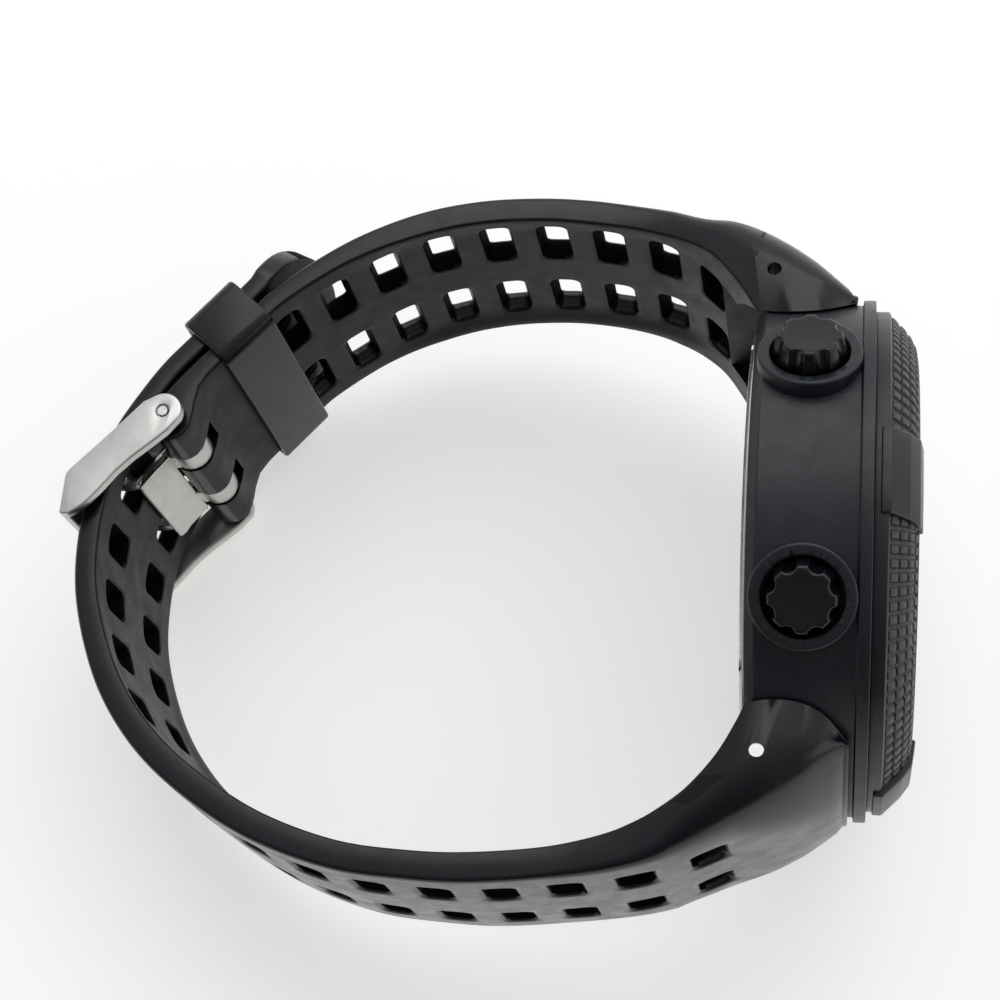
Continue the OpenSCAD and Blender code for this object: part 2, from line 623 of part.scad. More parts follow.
module cap_10() { color(resin) lay() on_pusher(-1, 1) cap(); }
module cap_8() { color(resin) lay() on_pusher(-1, -1) cap(); }
module cap_4() { color(resin) lay() on_pusher(1, -1) cap(); }
module cap_2() { color(resin) lay() on_pusher(1, 1) cap(); }
module stem_10() { color(steel) lay() on_pusher(-1, 1) stem(); }
module stem_8() { color(steel) lay() on_pusher(-1, -1) stem(); }
module stem_4() { color(steel) lay() on_pusher(1, -1) stem(); }
module stem_2() { color(steel) lay() on_pusher(1, 1) stem(); }
module clip_10() { color(steel) lay() on_pusher(-1, 1) clip(); }
module clip_8() { color(steel) lay() on_pusher(-1, -1) clip(); }
module clip_4() { color(steel) lay() on_pusher(1, -1) clip(); }
module clip_2() { color(steel) lay() on_pusher(1, 1) clip(); }
module spring_10() { color(steel) lay() on_pusher(-1, 1) return_spring(); }
module spring_8() { color(steel) lay() on_pusher(-1, -1) return_spring(); }
module spring_4() { color(steel) lay() on_pusher(1, -1) return_spring(); }
module spring_2() { color(steel) lay() on_pusher(1, 1) return_spring(); }

module pusher_seals() {
    color([0.1, 0.1, 0.1]) lay() on_all_pushers() translate([0, 0, well_floor - 0.6])
        rotate_extrude() translate([(stem_r + seal_bore) / 2, 0]) circle(r = (seal_bore - stem_r) / 2 - 0.02, $fn = 24);
}

// plan outline that both halves share: wide at the case, narrow beyond
module width_plan() {
    w = [[0, end_half - 3.5], [-1.3, end_half - 3.5], [-1.8, end_half - 2.2], [-2.5, end_half - 1.1],
        [-3.5, end_half - 0.4], [-5, end_half], [-9, end_half], [-11, end_half - 0.4], [-14, end_half - 1.8],
        [-17, end_half - 3], [-20, end_half - 3.9], [-24, half_w + 0.3], [-28, half_w], [-90, half_w]];
    rotate([90, 0, 0]) translate([0, 0, -60]) linear_extrude(120)
        polygon(concat([for (p = w) [p[1], p[0]]], [for (p = reverse(w)) [-p[1], p[0]]]));
}

// the part of a strap end that its case side and its rounded front leave
module end_limits() {
    rotate_extrude() polygon([[0, -100], [90, -100], [90, -66], [35.6 + grow, -17], [34.7 + grow, -15],
        [33.9 + grow, -13], [33.05 + grow, -11], [32.1 + grow, -9], [30.95 + grow, -7], [29.6 + grow, -5],
        [27.9 + grow, -3], [26.3 + grow, block_top],
        [case_r + 0.4, block_top], [case_r + 0.15, -4], [case_r + 0.15, -14], [0, -14]]);
}

module strap_holes(p, r, holes, w) {
    for (s = holes) translate([0, place(p, r, s)[0], place(p, r, s)[1]]) rotate([turn(p, r, s), 0, 0])
        for (x = [-1, 1]) translate([x * row_gap / 2 - w / 2, -hole_l / 2, -deep])
            cube([w, hole_l, 2 * deep]);
}

// room for the case lug and its pin in a strap end
module lug_room(side) {
    rod([side * lug_y, lug_z], lug_tube_r + 0.2, -lug_w / 2 - 0.2, lug_w / 2 + 0.2);
    translate([-lug_w / 2 - 0.2, side > 0 ? 15 : -lug_y - lug_tube_r - 0.2, lug_z - 6])
        cube([lug_w + 0.4, lug_y + lug_tube_r + 0.2 - 15, 6]);
    rod([side * lug_y, lug_z], pin_r + pin_play, -past, past);
}

module strap_buckle_half() {
    slot_w = knuckle_out - knuckle_in + 0.5;
    color(resin) lay() difference() {
        union() {
            intersection() {
                across(strap_end_w) polygon(concat(buckle_in, reverse(buckle_out)));
                width_plan();
                end_limits();
            }
            rod(bar, roll_r, -half_w, half_w, 64);
        }
        lug_room(1);
        strap_holes(buckle_in, buckle_run, buckle_holes, vent_w);
        rod(bar, bar_r + fit, -past, past);
        // slots that let the knuckles of the tongue reach the bar
        for (s = [-1, 1]) translate([s * (knuckle_in + knuckle_out) / 2 - slot_w / 2, bar[0], bar[1]])
            rotate([lean, 0, 0]) translate([0, -4, -4]) cube([slot_w, 7.2, 8]);
    }
}

module strap_tail_half() {
    color(resin) lay() difference() {
        intersection() {
            across(strap_end_w) polygon(concat(tail_in, reverse(tail_out)));
            width_plan();
            end_limits();
        }
        lug_room(-1);
        strap_holes(tail_in, tail_run, tail_holes, hole_w);
        // the corners that the round end leaves out
        translate([0, mid[0], mid[1]]) rotate([lean, 0, 0]) translate([0, tip_at - tip_round, -5]) linear_extrude(12)
            difference() {
                translate([-half_w - 1, 0]) square([strap_w + 2, tip_round + 1]);
                polygon([for (a = [0 : 7.5 : 180]) [(half_w + cut) * cos(a), tip_round * sin(a)]]);
            }
    }
}

module lug_pins() {
    color(steel) lay() {
        rod([lug_y, lug_z], pin_r, -end_half + 2.2, end_half - 0.6);
        rod([-lug_y, lug_z], pin_r, -end_half + 0.4, end_half - 0.6);
    }
}

module buckle_frame() {
    side = [[10.9, -71.2], [10.1, -72.6], [7.2, -75.1], [plate_hi, -plate_out], [plate_lo, -plate_out],
        [plate_lo, -plate_in], [-2, -77.9], [-0.9, -76.9], [0.6, -75.7], [2.4, -74.4], [4, -72.9],
        [5.6, -71.1], [6.9, -69.7], [8.4, -68.7]];
    color(steel) lay() difference() {
        union() {
            for (s = [-1, 1]) translate([s * (frame_in + frame_out) / 2, 0, 0]) {
                across(buckle_t) polygon(side);
                rod(bar, knuckle_r, -buckle_t / 2, buckle_t / 2, 64);
            }
            translate([-frame_out, plate_lo, -plate_out]) cube([2 * frame_out, plate_hi - plate_lo, plate_t]);
        }
        rod(bar, nose_r + fit, -past, past);
    }
}

module buckle_tongue() {
    // side outlines of an arm with its plate, and of a prong
    t = tongue_t;
    face = [[7, -72.15], [5, -73.7]];
    back = [for (p = face) p + t * [0.612, -0.79]];
    arm = [bar, [7.15, -70.4], face[0], face[1], back[1], back[0], [8.6, -72.25]];
    y0 = prong_y - t / 2;
    y1 = prong_y + t / 2;
    prong = [face[1], [y0 + 0.6, -74.1], [y0, -74.9], [y0 - 0.05, -76.2], [y0 + 0.05, -prong_end + 0.35],
        [y0 + 0.3, -prong_end], [y1 - 0.25, -prong_end], [y1, -prong_end + 0.35], [y1, -76], [y1 + 0.15, -75], back[1]];
    color([0.82, 0.81, 0.79]) lay() difference() {
        union() {
            for (s = [-1, 1]) {
                translate([s * (knuckle_in + knuckle_out) / 2, 0, 0]) {
                    across(knuckle_out - knuckle_in) polygon(arm);
                    rod(bar, knuckle_r, -(knuckle_out - knuckle_in) / 2, (knuckle_out - knuckle_in) / 2, 64);
                }
                translate([s * row_gap / 2, 0, 0]) across(prong_w) polygon(prong);
            }
            // the plate that joins both arms and both prongs
            across(2 * knuckle_out) polygon([face[0], face[1], back[1], back[0]]);
        }
        rod(bar, bar_r + fit, -past, past);
    }
}

// the bar's barrel; its far end is solid, its near end is bored for the sprung end
module buckle_bar() {
    color(steel) lay() difference() {
        union() {
            rod(bar, bar_r, -bar_half, bar_half);
            rod(bar, nose_r, 0, bar_nose);
        }
        rod(bar, bore_r, -bar_half + bar_lip, -bar_half + bore_len);
        rod(bar, nose_r + tip_play, -bar_half - 1, -bar_half + bar_lip + cut);
    }
}

module buckle_bar_tip() {
    color(steel) lay() {
        rod(bar, nose_r, -bar_nose, -bar_half + bar_lip + 0.5);
        rod(bar, bore_r - tip_play, -bar_half + bar_lip + 0.02, -bar_half + bar_lip + tip_flange);
    }
}

module buckle_bar_spring() {
    color(steel) lay() translate([0, bar[0], bar[1]]) rotate([0, 90, 0])
        coil(bar_turns, bar_coil_r, bar_wire_r, bar_spring[0], bar_spring[1]);
}

module keeper() {
    in_w = half_w + keeper_gap;
    color(resin) lay() translate([0, mid[0], mid[1]]) rotate([lean, 0, 0]) difference() {
        translate([-in_w - keeper_side, -keeper_w / 2, -keeper_half - keeper_t])
            cube([2 * (in_w + keeper_side), keeper_w, 2 * (keeper_half + keeper_t)]);
        translate([-in_w, -keeper_w, -keeper_half]) cube([2 * in_w, 2 * keeper_w, 2 * keeper_half]);
    }
}

case_body();
bezel();
crystal();
crystal_gasket();
dial_ring();
dial_mask();
lcd_glass();
lcd_segments();
backlight_panel();
zebra_strips();
module_frame();
circuit_board();
board_parts();
pusher_contacts();
battery();
battery_clip();
battery_clip_screws();
piezo_disc();
buzzer_spring();
back_gasket();
case_back();
case_back_screws();
cap_10();
cap_8();
cap_4();
cap_2();
stem_10();
stem_8();
stem_4();
stem_2();
clip_10();
clip_8();
clip_4();
clip_2();
spring_10();
spring_8();
spring_4();
spring_2();
pusher_seals();
strap_buckle_half();
strap_tail_half();
lug_pins();
buckle_frame();
buckle_tongue();
buckle_bar();
buckle_bar_tip();
buckle_bar_spring();
keeper();
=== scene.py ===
# Looks of the digital sports watch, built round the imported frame. Sizes are in mm, drawn dial up as in the
# part's source (X to 3 o'clock, Y to 12 o'clock, Z out of the dial), and laid down by world().
import bisect
import bmesh
import bpy
from math import acos, asin, cos, hypot, inf, pi, radians, sin, sqrt, tan
from mathutils import Matrix, Vector, geometry

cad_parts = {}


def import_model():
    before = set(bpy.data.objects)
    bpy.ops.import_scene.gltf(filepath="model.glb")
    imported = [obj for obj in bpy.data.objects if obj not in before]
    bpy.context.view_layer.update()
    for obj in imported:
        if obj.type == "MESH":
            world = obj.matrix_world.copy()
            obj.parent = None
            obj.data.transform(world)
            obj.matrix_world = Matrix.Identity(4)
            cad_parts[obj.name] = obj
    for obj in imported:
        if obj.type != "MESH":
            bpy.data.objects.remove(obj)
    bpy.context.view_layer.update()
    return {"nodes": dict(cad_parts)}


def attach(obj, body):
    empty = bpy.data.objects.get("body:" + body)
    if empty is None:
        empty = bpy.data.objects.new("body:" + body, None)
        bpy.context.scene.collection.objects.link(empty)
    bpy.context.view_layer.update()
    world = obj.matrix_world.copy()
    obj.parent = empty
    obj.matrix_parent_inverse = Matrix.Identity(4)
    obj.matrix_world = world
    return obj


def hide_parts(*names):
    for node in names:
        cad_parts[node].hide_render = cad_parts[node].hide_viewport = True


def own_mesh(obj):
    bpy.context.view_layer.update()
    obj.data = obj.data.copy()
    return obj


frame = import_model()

MM = 0.001
NODES = frame["nodes"]

# how the watch lies: the lean, and where its middle is
TILT = radians(9.68313)
LAY = (36.2605, 0.892479, 27.5919)
SIN, COS = sin(TILT), cos(TILT)

# sizes shared with the source
FIT = 0.05
CASE_R, CASE_DEPTH, CHAMFER, CAVITY_R = 25.5, 10.7, 0.9, 19.6
FLANGE_R, FLANGE_Z, NECK_R, NECK_Z = 26, 0.6, 22.4, 3.6
SEAT_R, SEAT_Z, LEDGE_R, LEDGE_Z = 19.35, 2.3, 17.8, 1.4
BACK_R, BACK_Z, BACK_T, RECESS_R = 23.1, -10.3, 0.9, 23.2
GASKET_IN, GASKET_OUT, GASKET_Z = 20.0, 20.8, -9.7
SCREW_AT, SCREW_R, HEAD_R = 21.9, 0.5, 1.0
BEZEL_R, LIP_R, BLOCK_W, BLOCK_OVER = 24.9, 19.5, 8.3, 0.35
PUSHER_ANGLE, PUSH_Z = 26.6, -5.45
PUSHERS = {"10": 180 - PUSHER_ANGLE, "8": 180 + PUSHER_ANGLE, "4": -PUSHER_ANGLE, "2": PUSHER_ANGLE}
CAP_R, CAP_TOP, CAP_FOOT, CAP_ROOF, STEM_R, STEM_TOP = 3.45, 28.71, 25.0, 27.01, 0.75, 28.01
WELL_R, WELL_FLOOR, COLLAR_R, COLLAR_TOP = 3.7, 23.6, 4.86, 26.76
SPRING_FOOT, SPRING_TOP, COIL_R, WIRE_R = 23.62, 26.99, 1.85, 0.16
STRAP_T, CLASP_T, HALF_W, LAP_IN, LAP_OUT = 2.7, 2.4, 12.2, 0.1, 0.05
HOLE_L, HOLE_X, PITCH, VENT_W, HOLE_W = 3.1, 6.05, 6.0, 6.8, 5.4
LUG_Y, LUG_Z, LUG_R, LUG_HALF, PIN_R, PIN_PLAY = 24.06, -9.29, 1.7, 9.5, 0.68, 0.02
MID, LEAN = (19.95, -65.4), radians(40)
ALONG, OUTWARD = (cos(LEAN), sin(LEAN)), (sin(LEAN), -cos(LEAN))
BAR, BAR_BORE, ROLL_R = (9.1, -70.4), 0.9, 2.3
FRAME_IN, FRAME_OUT, KNUCKLE_IN, KNUCKLE_OUT = 13.2, 14.4, 3.6, 6.5


def world(p):
    """A drawn point in the shared frame, in metres."""
    x, y, z = p
    return ((SIN * x + COS * z + LAY[0]) * MM, (y + LAY[1]) * MM, (-COS * x + SIN * z + LAY[2]) * MM)


def world_way(v):
    """A drawn direction in the shared frame."""
    x, y, z = v
    return Vector((SIN * x + COS * z, y, -COS * x + SIN * z)).normalized()


def local(p):
    """Back from the shared frame, in metres, to the drawn one, in mm."""
    x, z = p[0] / MM - LAY[0], p[2] / MM - LAY[2]
    return SIN * x - COS * z, p[1] / MM - LAY[1], COS * x + SIN * z


def clasp(s, n):
    """A point of the clasp: s along the strap from its middle, n outward."""
    return (MID[0] + s * ALONG[0] + n * OUTWARD[0], MID[1] + s * ALONG[1] + n * OUTWARD[1])


def on_pusher(name):
    """Places a point drawn with Z along a pusher, out of the case."""
    angle = radians(PUSHERS[name])
    ca, sa = cos(angle), sin(angle)
    return lambda v: (v[2] * ca - v[1] * sa, v[2] * sa + v[1] * ca, PUSH_Z - v[0])


def on_bar(p, start=0, way=1):
    """Places a point drawn with Z along a cross bar, which passes a point (y, z) of the side view."""
    return lambda v: (start + way * v[2], p[0] + v[0], p[1] + v[1])


# small tools
def clamp(v, low, high):
    return max(low, min(high, v))


def mix(a, b, t):
    return tuple(p + (q - p) * t for p, q in zip(a, b))


def table(x, pairs):
    """Straight-line value between given pairs."""
    if x <= pairs[0][0]:
        return pairs[0][1]
    for (a, va), (b, vb) in zip(pairs, pairs[1:]):
        if x <= b:
            return va + (vb - va) * (x - a) / (b - a)
    return pairs[-1][1]


def softmin(a, b, k):
    h = clamp(0.5 + 0.5 * (b - a) / k, 0, 1)
    return b * (1 - h) + a * h - k * h * (1 - h)


def search(low, high, before, rounds):
    """Halves a range round the place where before() turns false."""
    for _ in range(rounds):
        m = (low + high) / 2
        low, high = (m, high) if before(m) else (low, m)
    return low, high


def arc(centre, r, degrees):
    """Points of a circle at the given angles."""
    turns = [radians(a) for a in degrees]
    return [(centre[0] + r * cos(a), centre[1] + r * sin(a)) for a in turns]


def area(poly):
    return sum(poly[i - 1][0] * poly[i][1] - poly[i][0] * poly[i - 1][1] for i in range(len(poly))) / 2


def soft(points, radius, closed=True, steps=4):
    """Rounds the corners of an outline; radius is one number, or one for each corner."""
    made = []
    count = len(points)
    for i, p in enumerate(points):
        r = radius[i] if isinstance(radius, list) else radius
        if r <= 0 or (not closed and i in (0, count - 1)):
            made.append(tuple(p))
            continue
        p = Vector(p)
        a, b = Vector(points[i - 1]) - p, Vector(points[(i + 1) % count]) - p
        la, lb = a.length, b.length
        a.normalize()
        b.normalize()
        half = acos(clamp(a.dot(b), -1, 1)) / 2
        if half > radians(87.5) or half < 0.02:
            made.append(tuple(p))
            continue
        run = min(r / tan(half), la * 0.49, lb * 0.49)
        middle = p + (a + b).normalized() * (run * tan(half) / sin(half))
        v, w = p + a * run - middle, p + b * run - middle
        turn = pi - 2 * half
        for k in range(steps + 1):
            t = k / steps
            q = (v * sin((1 - t) * turn) + w * sin(t * turn)) / sin(turn)
            made.append(tuple(middle + q))
    return made


def inset(poly, d):
    """Moves a counter-clockwise outline inward by d, and a clockwise one outward."""
    made = []
    for i, point in enumerate(poly):
        p = Vector(point)
        e1 = (p - Vector(poly[i - 1])).normalized()
        e2 = (Vector(poly[(i + 1) % len(poly)]) - p).normalized()
        n1, n2 = Vector((-e1.y, e1.x)), Vector((-e2.y, e2.x))
        m = n1 + n2 if (n1 + n2).length > 1e-6 else n1
        m.normalize()
        made.append(tuple(p + m * (d / max(0.35, m.dot(n1)))))
    return made


def bands(rings, wrap=True):
    """Faces between each ring of vertices and the next."""
    faces = []
    for a, b in zip(rings, rings[1:]):
        for k in range(len(a) if wrap else len(a) - 1):
            n = (k + 1) % len(a)
            faces.append((a[k], a[n], b[n], b[k]))
    return faces


def lathe(profile, segments, closed=True, shape=None):
    """Turns a (radius, height) outline round Z. shape may change a radius by its angle."""
    verts, faces, rings = [], [], []
    for r, z in profile:
        start = len(verts)
        if r < 1e-6:
            verts.append((0, 0, z))
        else:
            for k in range(segments):
                a = 2 * pi * k / segments
                rr = shape(r, z, a) if shape else r
                verts.append((rr * cos(a), rr * sin(a), z))
        rings.append(range(start, len(verts)))
    for a, b in zip(rings, rings[1:] + rings[:1] if closed else rings[1:]):
        for k in range(segments):
            n = (k + 1) % segments
            corners = (a[k % len(a)], b[k % len(b)], b[n % len(b)], a[n % len(a)])
            faces.append(tuple(dict.fromkeys(corners)))
    return verts, [f for f in faces if len(f) > 2]


def slab(outline, low, high, r, holes=(), steps=3):
    """An outline in (y, z), from x low to x high, with rounded edges. Holes are outlines too."""
    loops = [outline if area(outline) > 0 else outline[::-1]]
    loops += [h if area(h) < 0 else h[::-1] for h in holes]
    turns = [pi / 2 * k / steps for k in range(steps + 1)]
    levels = [(low + r * (1 - cos(t)), r * (1 - sin(t))) for t in turns]
    levels += [(low + high - x, d) for x, d in levels[::-1]]
    verts, faces, ends = [], [], ([], [])
    for loop in loops:
        rings = []
        for x, d in levels:
            rings.append(range(len(verts), len(verts) + len(loop)))
            verts += [(x, y, z) for y, z in inset(loop, d)]
        faces += bands(rings)
        ends[0].append(rings[0])
        ends[1].append(rings[-1])
    for rings in ends:
        flat = [i for ring in rings for i in ring]
        rims = [[Vector((verts[i][1], verts[i][2], 0)) for i in ring] for ring in rings]
        faces += [tuple(flat[i] for i in tri) for tri in geometry.tessellate_polygon(rims)]
    return verts, faces


def join(*parts):
    verts, faces = [], []
    for v, f in parts:
        faces += [tuple(i + len(verts) for i in q) for q in f]
        verts += v
    return verts, faces


def moved(part, place):
    return [place(v) for v in part[0]], part[1]


def mesh_from(name, verts, faces, keep_frame=False):
    me = bpy.data.meshes.new(name)
    me.from_pydata([p if keep_frame else world(p) for p in verts], [], faces)
    me.validate()
    bm = bmesh.new()
    bm.from_mesh(me)
    bmesh.ops.remove_doubles(bm, verts=bm.verts, dist=1e-7)
    bmesh.ops.recalc_face_normals(bm, faces=bm.faces)
    bm.to_mesh(me)
    bm.free()
    ob = bpy.data.objects.new(name, me)
    bpy.context.scene.collection.objects.link(ob)
    return ob


def carve(ob, part, how="DIFFERENCE"):
    """Cuts a part, as vertices and faces, out of ob, or joins it."""
    tool = mesh_from("tool", *part)
    m = ob.modifiers.new("cut", "BOOLEAN")
    m.operation = how
    m.object = tool
    m.solver = "EXACT"
    old = ob.data
    made = bpy.data.meshes.new_from_object(ob.evaluated_get(bpy.context.evaluated_depsgraph_get()))
    ob.modifiers.clear()
    ob.data = made
    bpy.data.meshes.remove(old)
    bpy.data.objects.remove(tool)


def bore(ob, p, r, reach, segments):
    """A round hole across the watch, through a point (y, z) of the side view."""
    carve(ob, moved(lathe([(0, -reach), (r, -reach), (r, reach), (0, reach)], segments, False), on_bar(p)))


def finish_piece(ob, body, look, nodes, angle):
    """Smooths a piece up to an angle between its faces, gives it its look and body, and hides the pieces it
    replaces.
    """
    for p in ob.data.polygons:
        p.use_smooth = True
    ob.data.set_sharp_from_angle(angle=radians(angle))
    ob.data.materials.clear()
    ob.data.materials.append(look)
    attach(ob, body)
    if nodes:
        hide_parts(*nodes)


# strap lines in the side view, as (y, z) and thickness, and the widths at a height
BLOCK_TOP = -1.1
BLOCK_OUT = [(26.8, BLOCK_TOP), (28.4, -4.6), (29.9, -8), (31.1, -11.8)]
STRAIGHT = 3                                        # last points that lie in line
CLASP_FROM, CLASP_S = 13, (4.6, 0, -5.5, -10.2)     # the buckle path's points in the clasp
BUCKLE_PATH = [
    (18.6, -10.1, 9), (20.9, -11.5, 9), (23.9, -13.3, 8), (26.8, -15.5, 6), (28.7, -17.9, STRAP_T + 0.9),
    (30.1, -20.7, STRAP_T + 0.4), (31.1, -23.9, STRAP_T + 0.15), (31.9, -28.5, STRAP_T + 0.1),
    (32.3, -33.5, STRAP_T), (32, -39.5, STRAP_T), (30.8, -45.3, STRAP_T), (28.6, -50.9, STRAP_T - 0.1),
    (25.7, -55.7, STRAP_T - 0.2),
] + [clasp(s, -CLASP_T - LAP_IN) + (CLASP_T,) for s in CLASP_S]
TAIL_PATH = [
    (-18.6, -10.1, 9), (-21.2, -11.2, 9), (-24.3, -13, 8), (-27, -15.4, 6), (-29.1, -18, STRAP_T + 1.8),
    (-30.7, -20.6, STRAP_T + 1.1), (-31.9, -23.7, STRAP_T + 0.6), (-33.1, -28.7, STRAP_T + 0.15),
    (-33.9, -35.5, STRAP_T + 0.1), (-34, -41.3, STRAP_T), (-33.4, -48.2, STRAP_T), (-31.2, -55.6, STRAP_T),
    (-27.9, -61.8, STRAP_T), (-24, -67, STRAP_T - 0.05), (-19.3, -71, STRAP_T - 0.1),
    (-14.1, -73.7, STRAP_T - 0.15), (-8.4, -75.5, STRAP_T - 0.2), (-2.6, -76, STRAP_T - 0.25),
    (2.4, -75.5, CLASP_T), (7.2, -74.1, CLASP_T), (11.3, -72, CLASP_T),
] + [clasp(s, n) + (CLASP_T,) for s, n in ((-6.5, LAP_OUT), (0, LAP_OUT), (5.6, 0.2), (13.2, 2.5))]
END_ROUND = [(-26, 45.5), (-20, 38.9), (-17, 35.6), (-15, 34.7), (-13, 33.9), (-11, 33.05), (-9, 32.1),
             (-7, 30.95), (-5, 29.6), (-3, 27.9), (-1.1, 26.3)]
WIDTHS = [(-90, 12.2), (-28, 12.2), (-24, 12.5), (-20, 13.1), (-17, 14.0), (-14, 15.2), (-11, 16.6), (-9, 17),
          (-6.5, 16.95), (-5, 16.7), (-3.5, 16.1), (-2.5, 15.3), (-1.8, 14.4), (-1.3, 13.5), (0, 13.2)]
EDGE_OUT, EDGE_IN, CROWN = 0.5, 0.3, 0.2
EDGES_OUT = [(-40, EDGE_OUT), (-28, 0.6), (-20, 1.1), (-15, 1.9), (-10, 2.5), (-6, 2.5), (-5, 2.2), (-4, 1.8),
             (-3, 1.3), (-2, 0.75), (-1.1, 0.3)]
TROUGH_X, TROUGH_RUN, TROUGH_DIP, TROUGH_LIP = 9.4, 2.2, 0.35, 0.6

# rows and columns of a strap's mesh
CELL_S, CELL_GAP, CELL_N = 2.2, 0.5, 8      # a hole's cell: half length, room beside the hole, steps
TOP_ROWS, FACE_ROWS, END_ROWS = 4, 14, 24   # round top edge, face towards the case, all of the thick end
TOP_R, END_FOOT, CASE_CLEAR, EDGE_DIP = 0.5, -10.6, 25.65, 0.2
END_FACE = [(1.1, 25.8), (4, 25.7), (10, 25.66)]    # the face towards the case, as depth and radius
TIP_R, TIP_ROWS = 8, 12
FLAT_ROWS, NOTCH_ROW = 8, 6                 # points before the roll, and the row where the notches start
NOTCH_IN, NOTCH_OUT = 3.35, 6.75
C0, C1 = 2, 2 + CELL_N                      # columns at a cell's two edges
NCOL = C1 + 10
HOLE_ROUND = 0.85
RIMS = [(0.44, 0.0), (0.2, 0.08), (0.02, 0.3), (-0.06, 0.7)]       # growth and depth, from the outer face
MOUTHS = [(0.34, 0.0), (0.14, 0.1), (0.0, 0.35), (-0.08, 0.75)]    # the same from the inner face
STEP = radians(22.5)


def soft_width(z):
    """Half width of a strap at a height, with the plan's corners smoothed."""
    step = clamp(-z / 10, 0.12, 1)
    return sum(table(z + d * step, WIDTHS) for d in (-2, -1, 0, 1, 2)) / 5


def half_columns(cell_x):
    """Columns from the middle to an edge: at an x, at a share of the rest, or round the edge."""
    cols = [("x", 0), ("x", (HOLE_X - cell_x) / 2)]
    cols += [("x", HOLE_X - cell_x + 2 * cell_x * k / CELL_N) for k in range(CELL_N + 1)]
    cols += [("share", k / 5) for k in (1, 2, 3, 4, 5)]
    cols += [("angle", STEP * k) for k in (1, 2, 3, 4)]
    return cols


class Strap:
    """One strap half: its inner and outer line, and what lies across it."""

    def __init__(self, path, side, hole_w, hollow, taper):
        self.side, self.hole_w, self.hollow, self.taper = side, hole_w, hollow, taper
        self.cell_x = hole_w / 2 + CELL_GAP
        self.cols = half_columns(self.cell_x)
        self.last = len(path) - 1 - STRAIGHT
        self.inner = [Vector(p[:2]) for p in path]
        self.outer = [Vector((side * y, z)) for y, z in BLOCK_OUT]
        for i in range(len(BLOCK_OUT), len(path)):
            d = (self.inner[min(len(path) - 1, i + 1)] - self.inner[i - 1]).normalized()
            self.outer.append(self.inner[i] + path[i][2] * side * Vector((-d.y, d.x)))
        self.table = [(0.0, 0.0)]
        steps = 24
        for k in range(1, (len(path) - 1) * steps + 1):
            a, b = self.at(self.inner, (k - 1) / steps), self.at(self.inner, k / steps)
            self.table.append((self.table[-1][0] + (b - a).length, k / steps))
        self.length = self.table[-1][0]

    def at(self, p, u):
        """Point of a line at u, counted in its points: a smooth curve, then straight."""
        u = clamp(u, 0, len(p) - 1)
        i = min(int(u), len(p) - 2)
        t = u - i
        if i >= self.last:
            return p[i].lerp(p[i + 1], t)
        a, b, c, d = p[max(0, i - 1)], p[i], p[i + 1], p[min(len(p) - 1, i + 2)]
        return 0.5 * (2 * b + (c - a) * t + (2 * a - 5 * b + 4 * c - d) * t * t
                      + (3 * b - a - 3 * c + d) * t * t * t)

    def u(self, s):
        """Place on the lines at a length s along the inner one."""
        if s >= self.length:
            return self.table[-1][1]
        i = max(1, bisect.bisect_right(self.table, s, key=lambda row: row[0]))
        (a, ua), (b, ub) = self.table[i - 1], self.table[i]
        return ua + (ub - ua) * (s - a) / (b - a)

    def run_to(self, point):
        """Length along the inner line to one of the path's points."""
        return next(s for s, u in self.table if u >= point)

    def u_at(self, z):
        """Place on the outer line at a height near the case."""
        return sum(search(0.0, 8.0, lambda u: self.at(self.outer, u).y > z, 40)) / 2

    def case_start(self, x):
        """Where the inner line leaves the case, for a place across the strap."""
        limit = sqrt(CASE_CLEAR ** 2 - x * x)
        return search(0.0, 6.0, lambda u: abs(self.at(self.inner, u).x) < limit, 24)[0]

    def normal(self, p, u):
        d = (self.at(p, u + 0.08) - self.at(p, u - 0.08)).normalized()
        return self.side * Vector((-d.y, d.x))

    def column(self, c, w, edge, slots=0.0):
        """Place across, and drop at the edge, of column c; slots moves it to suit the notches."""
        kind, v = self.cols[abs(c)]
        sign = -1 if c < 0 else 1
        a, b = HOLE_X - self.cell_x, HOLE_X + self.cell_x
        if kind == "x":
            slot = v * NOTCH_IN / a if v <= a else NOTCH_IN + (v - a) * (NOTCH_OUT - NOTCH_IN) / (b - a)
            return sign * (v + (slot - v) * slots), 0.0
        last = b + (NOTCH_OUT - b) * slots
        if kind == "share":
            return sign * (last + (w - edge - last) * v), 0.0
        return sign * (w - edge + edge * sin(v)), edge * (1 - cos(v))

    def out_point(self, u, x, drop):
        """Point of the outer face, drop in from it."""
        q = self.at(self.outer, u) - self.normal(self.outer, u) * drop
        q = q - self.normal(self.outer, u) * CROWN * min(1, abs(x) / soft_width(q.y)) ** 2.2
        if q.y > -20:
            limit = table(q.y, END_ROUND) - drop
            y = softmin(abs(q.x), sqrt(max(limit * limit - x * x, 1)), 0.8)
            q = Vector((self.side * y, q.y))
        return (x, q.x, q.y)

    def in_point(self, u, x, rise):
        """Point of the inner face, rise out from it: a shallow trough between the two long edges."""
        t = clamp((abs(x) - TROUGH_X) / TROUGH_RUN, 0, 1)
        trough = table(u, self.hollow) * (TROUGH_DIP - TROUGH_LIP * t * t * (3 - 2 * t))
        q = self.at(self.inner, u) + self.normal(self.inner, u) * (rise + trough)
        return (x, q.x, q.y)

    def outer_at(self, u, c):
        """Point of the outer face in column c, and its drop."""
        z = self.at(self.outer, u).y
        x, drop = self.column(c, soft_width(z), table(z, EDGES_OUT))
        return self.out_point(u, x, drop), drop

    def inner_at(self, u, c):
        x, rise = self.column(c, soft_width(self.at(self.inner, u).y), EDGE_IN)
        return self.in_point(u, x, rise)


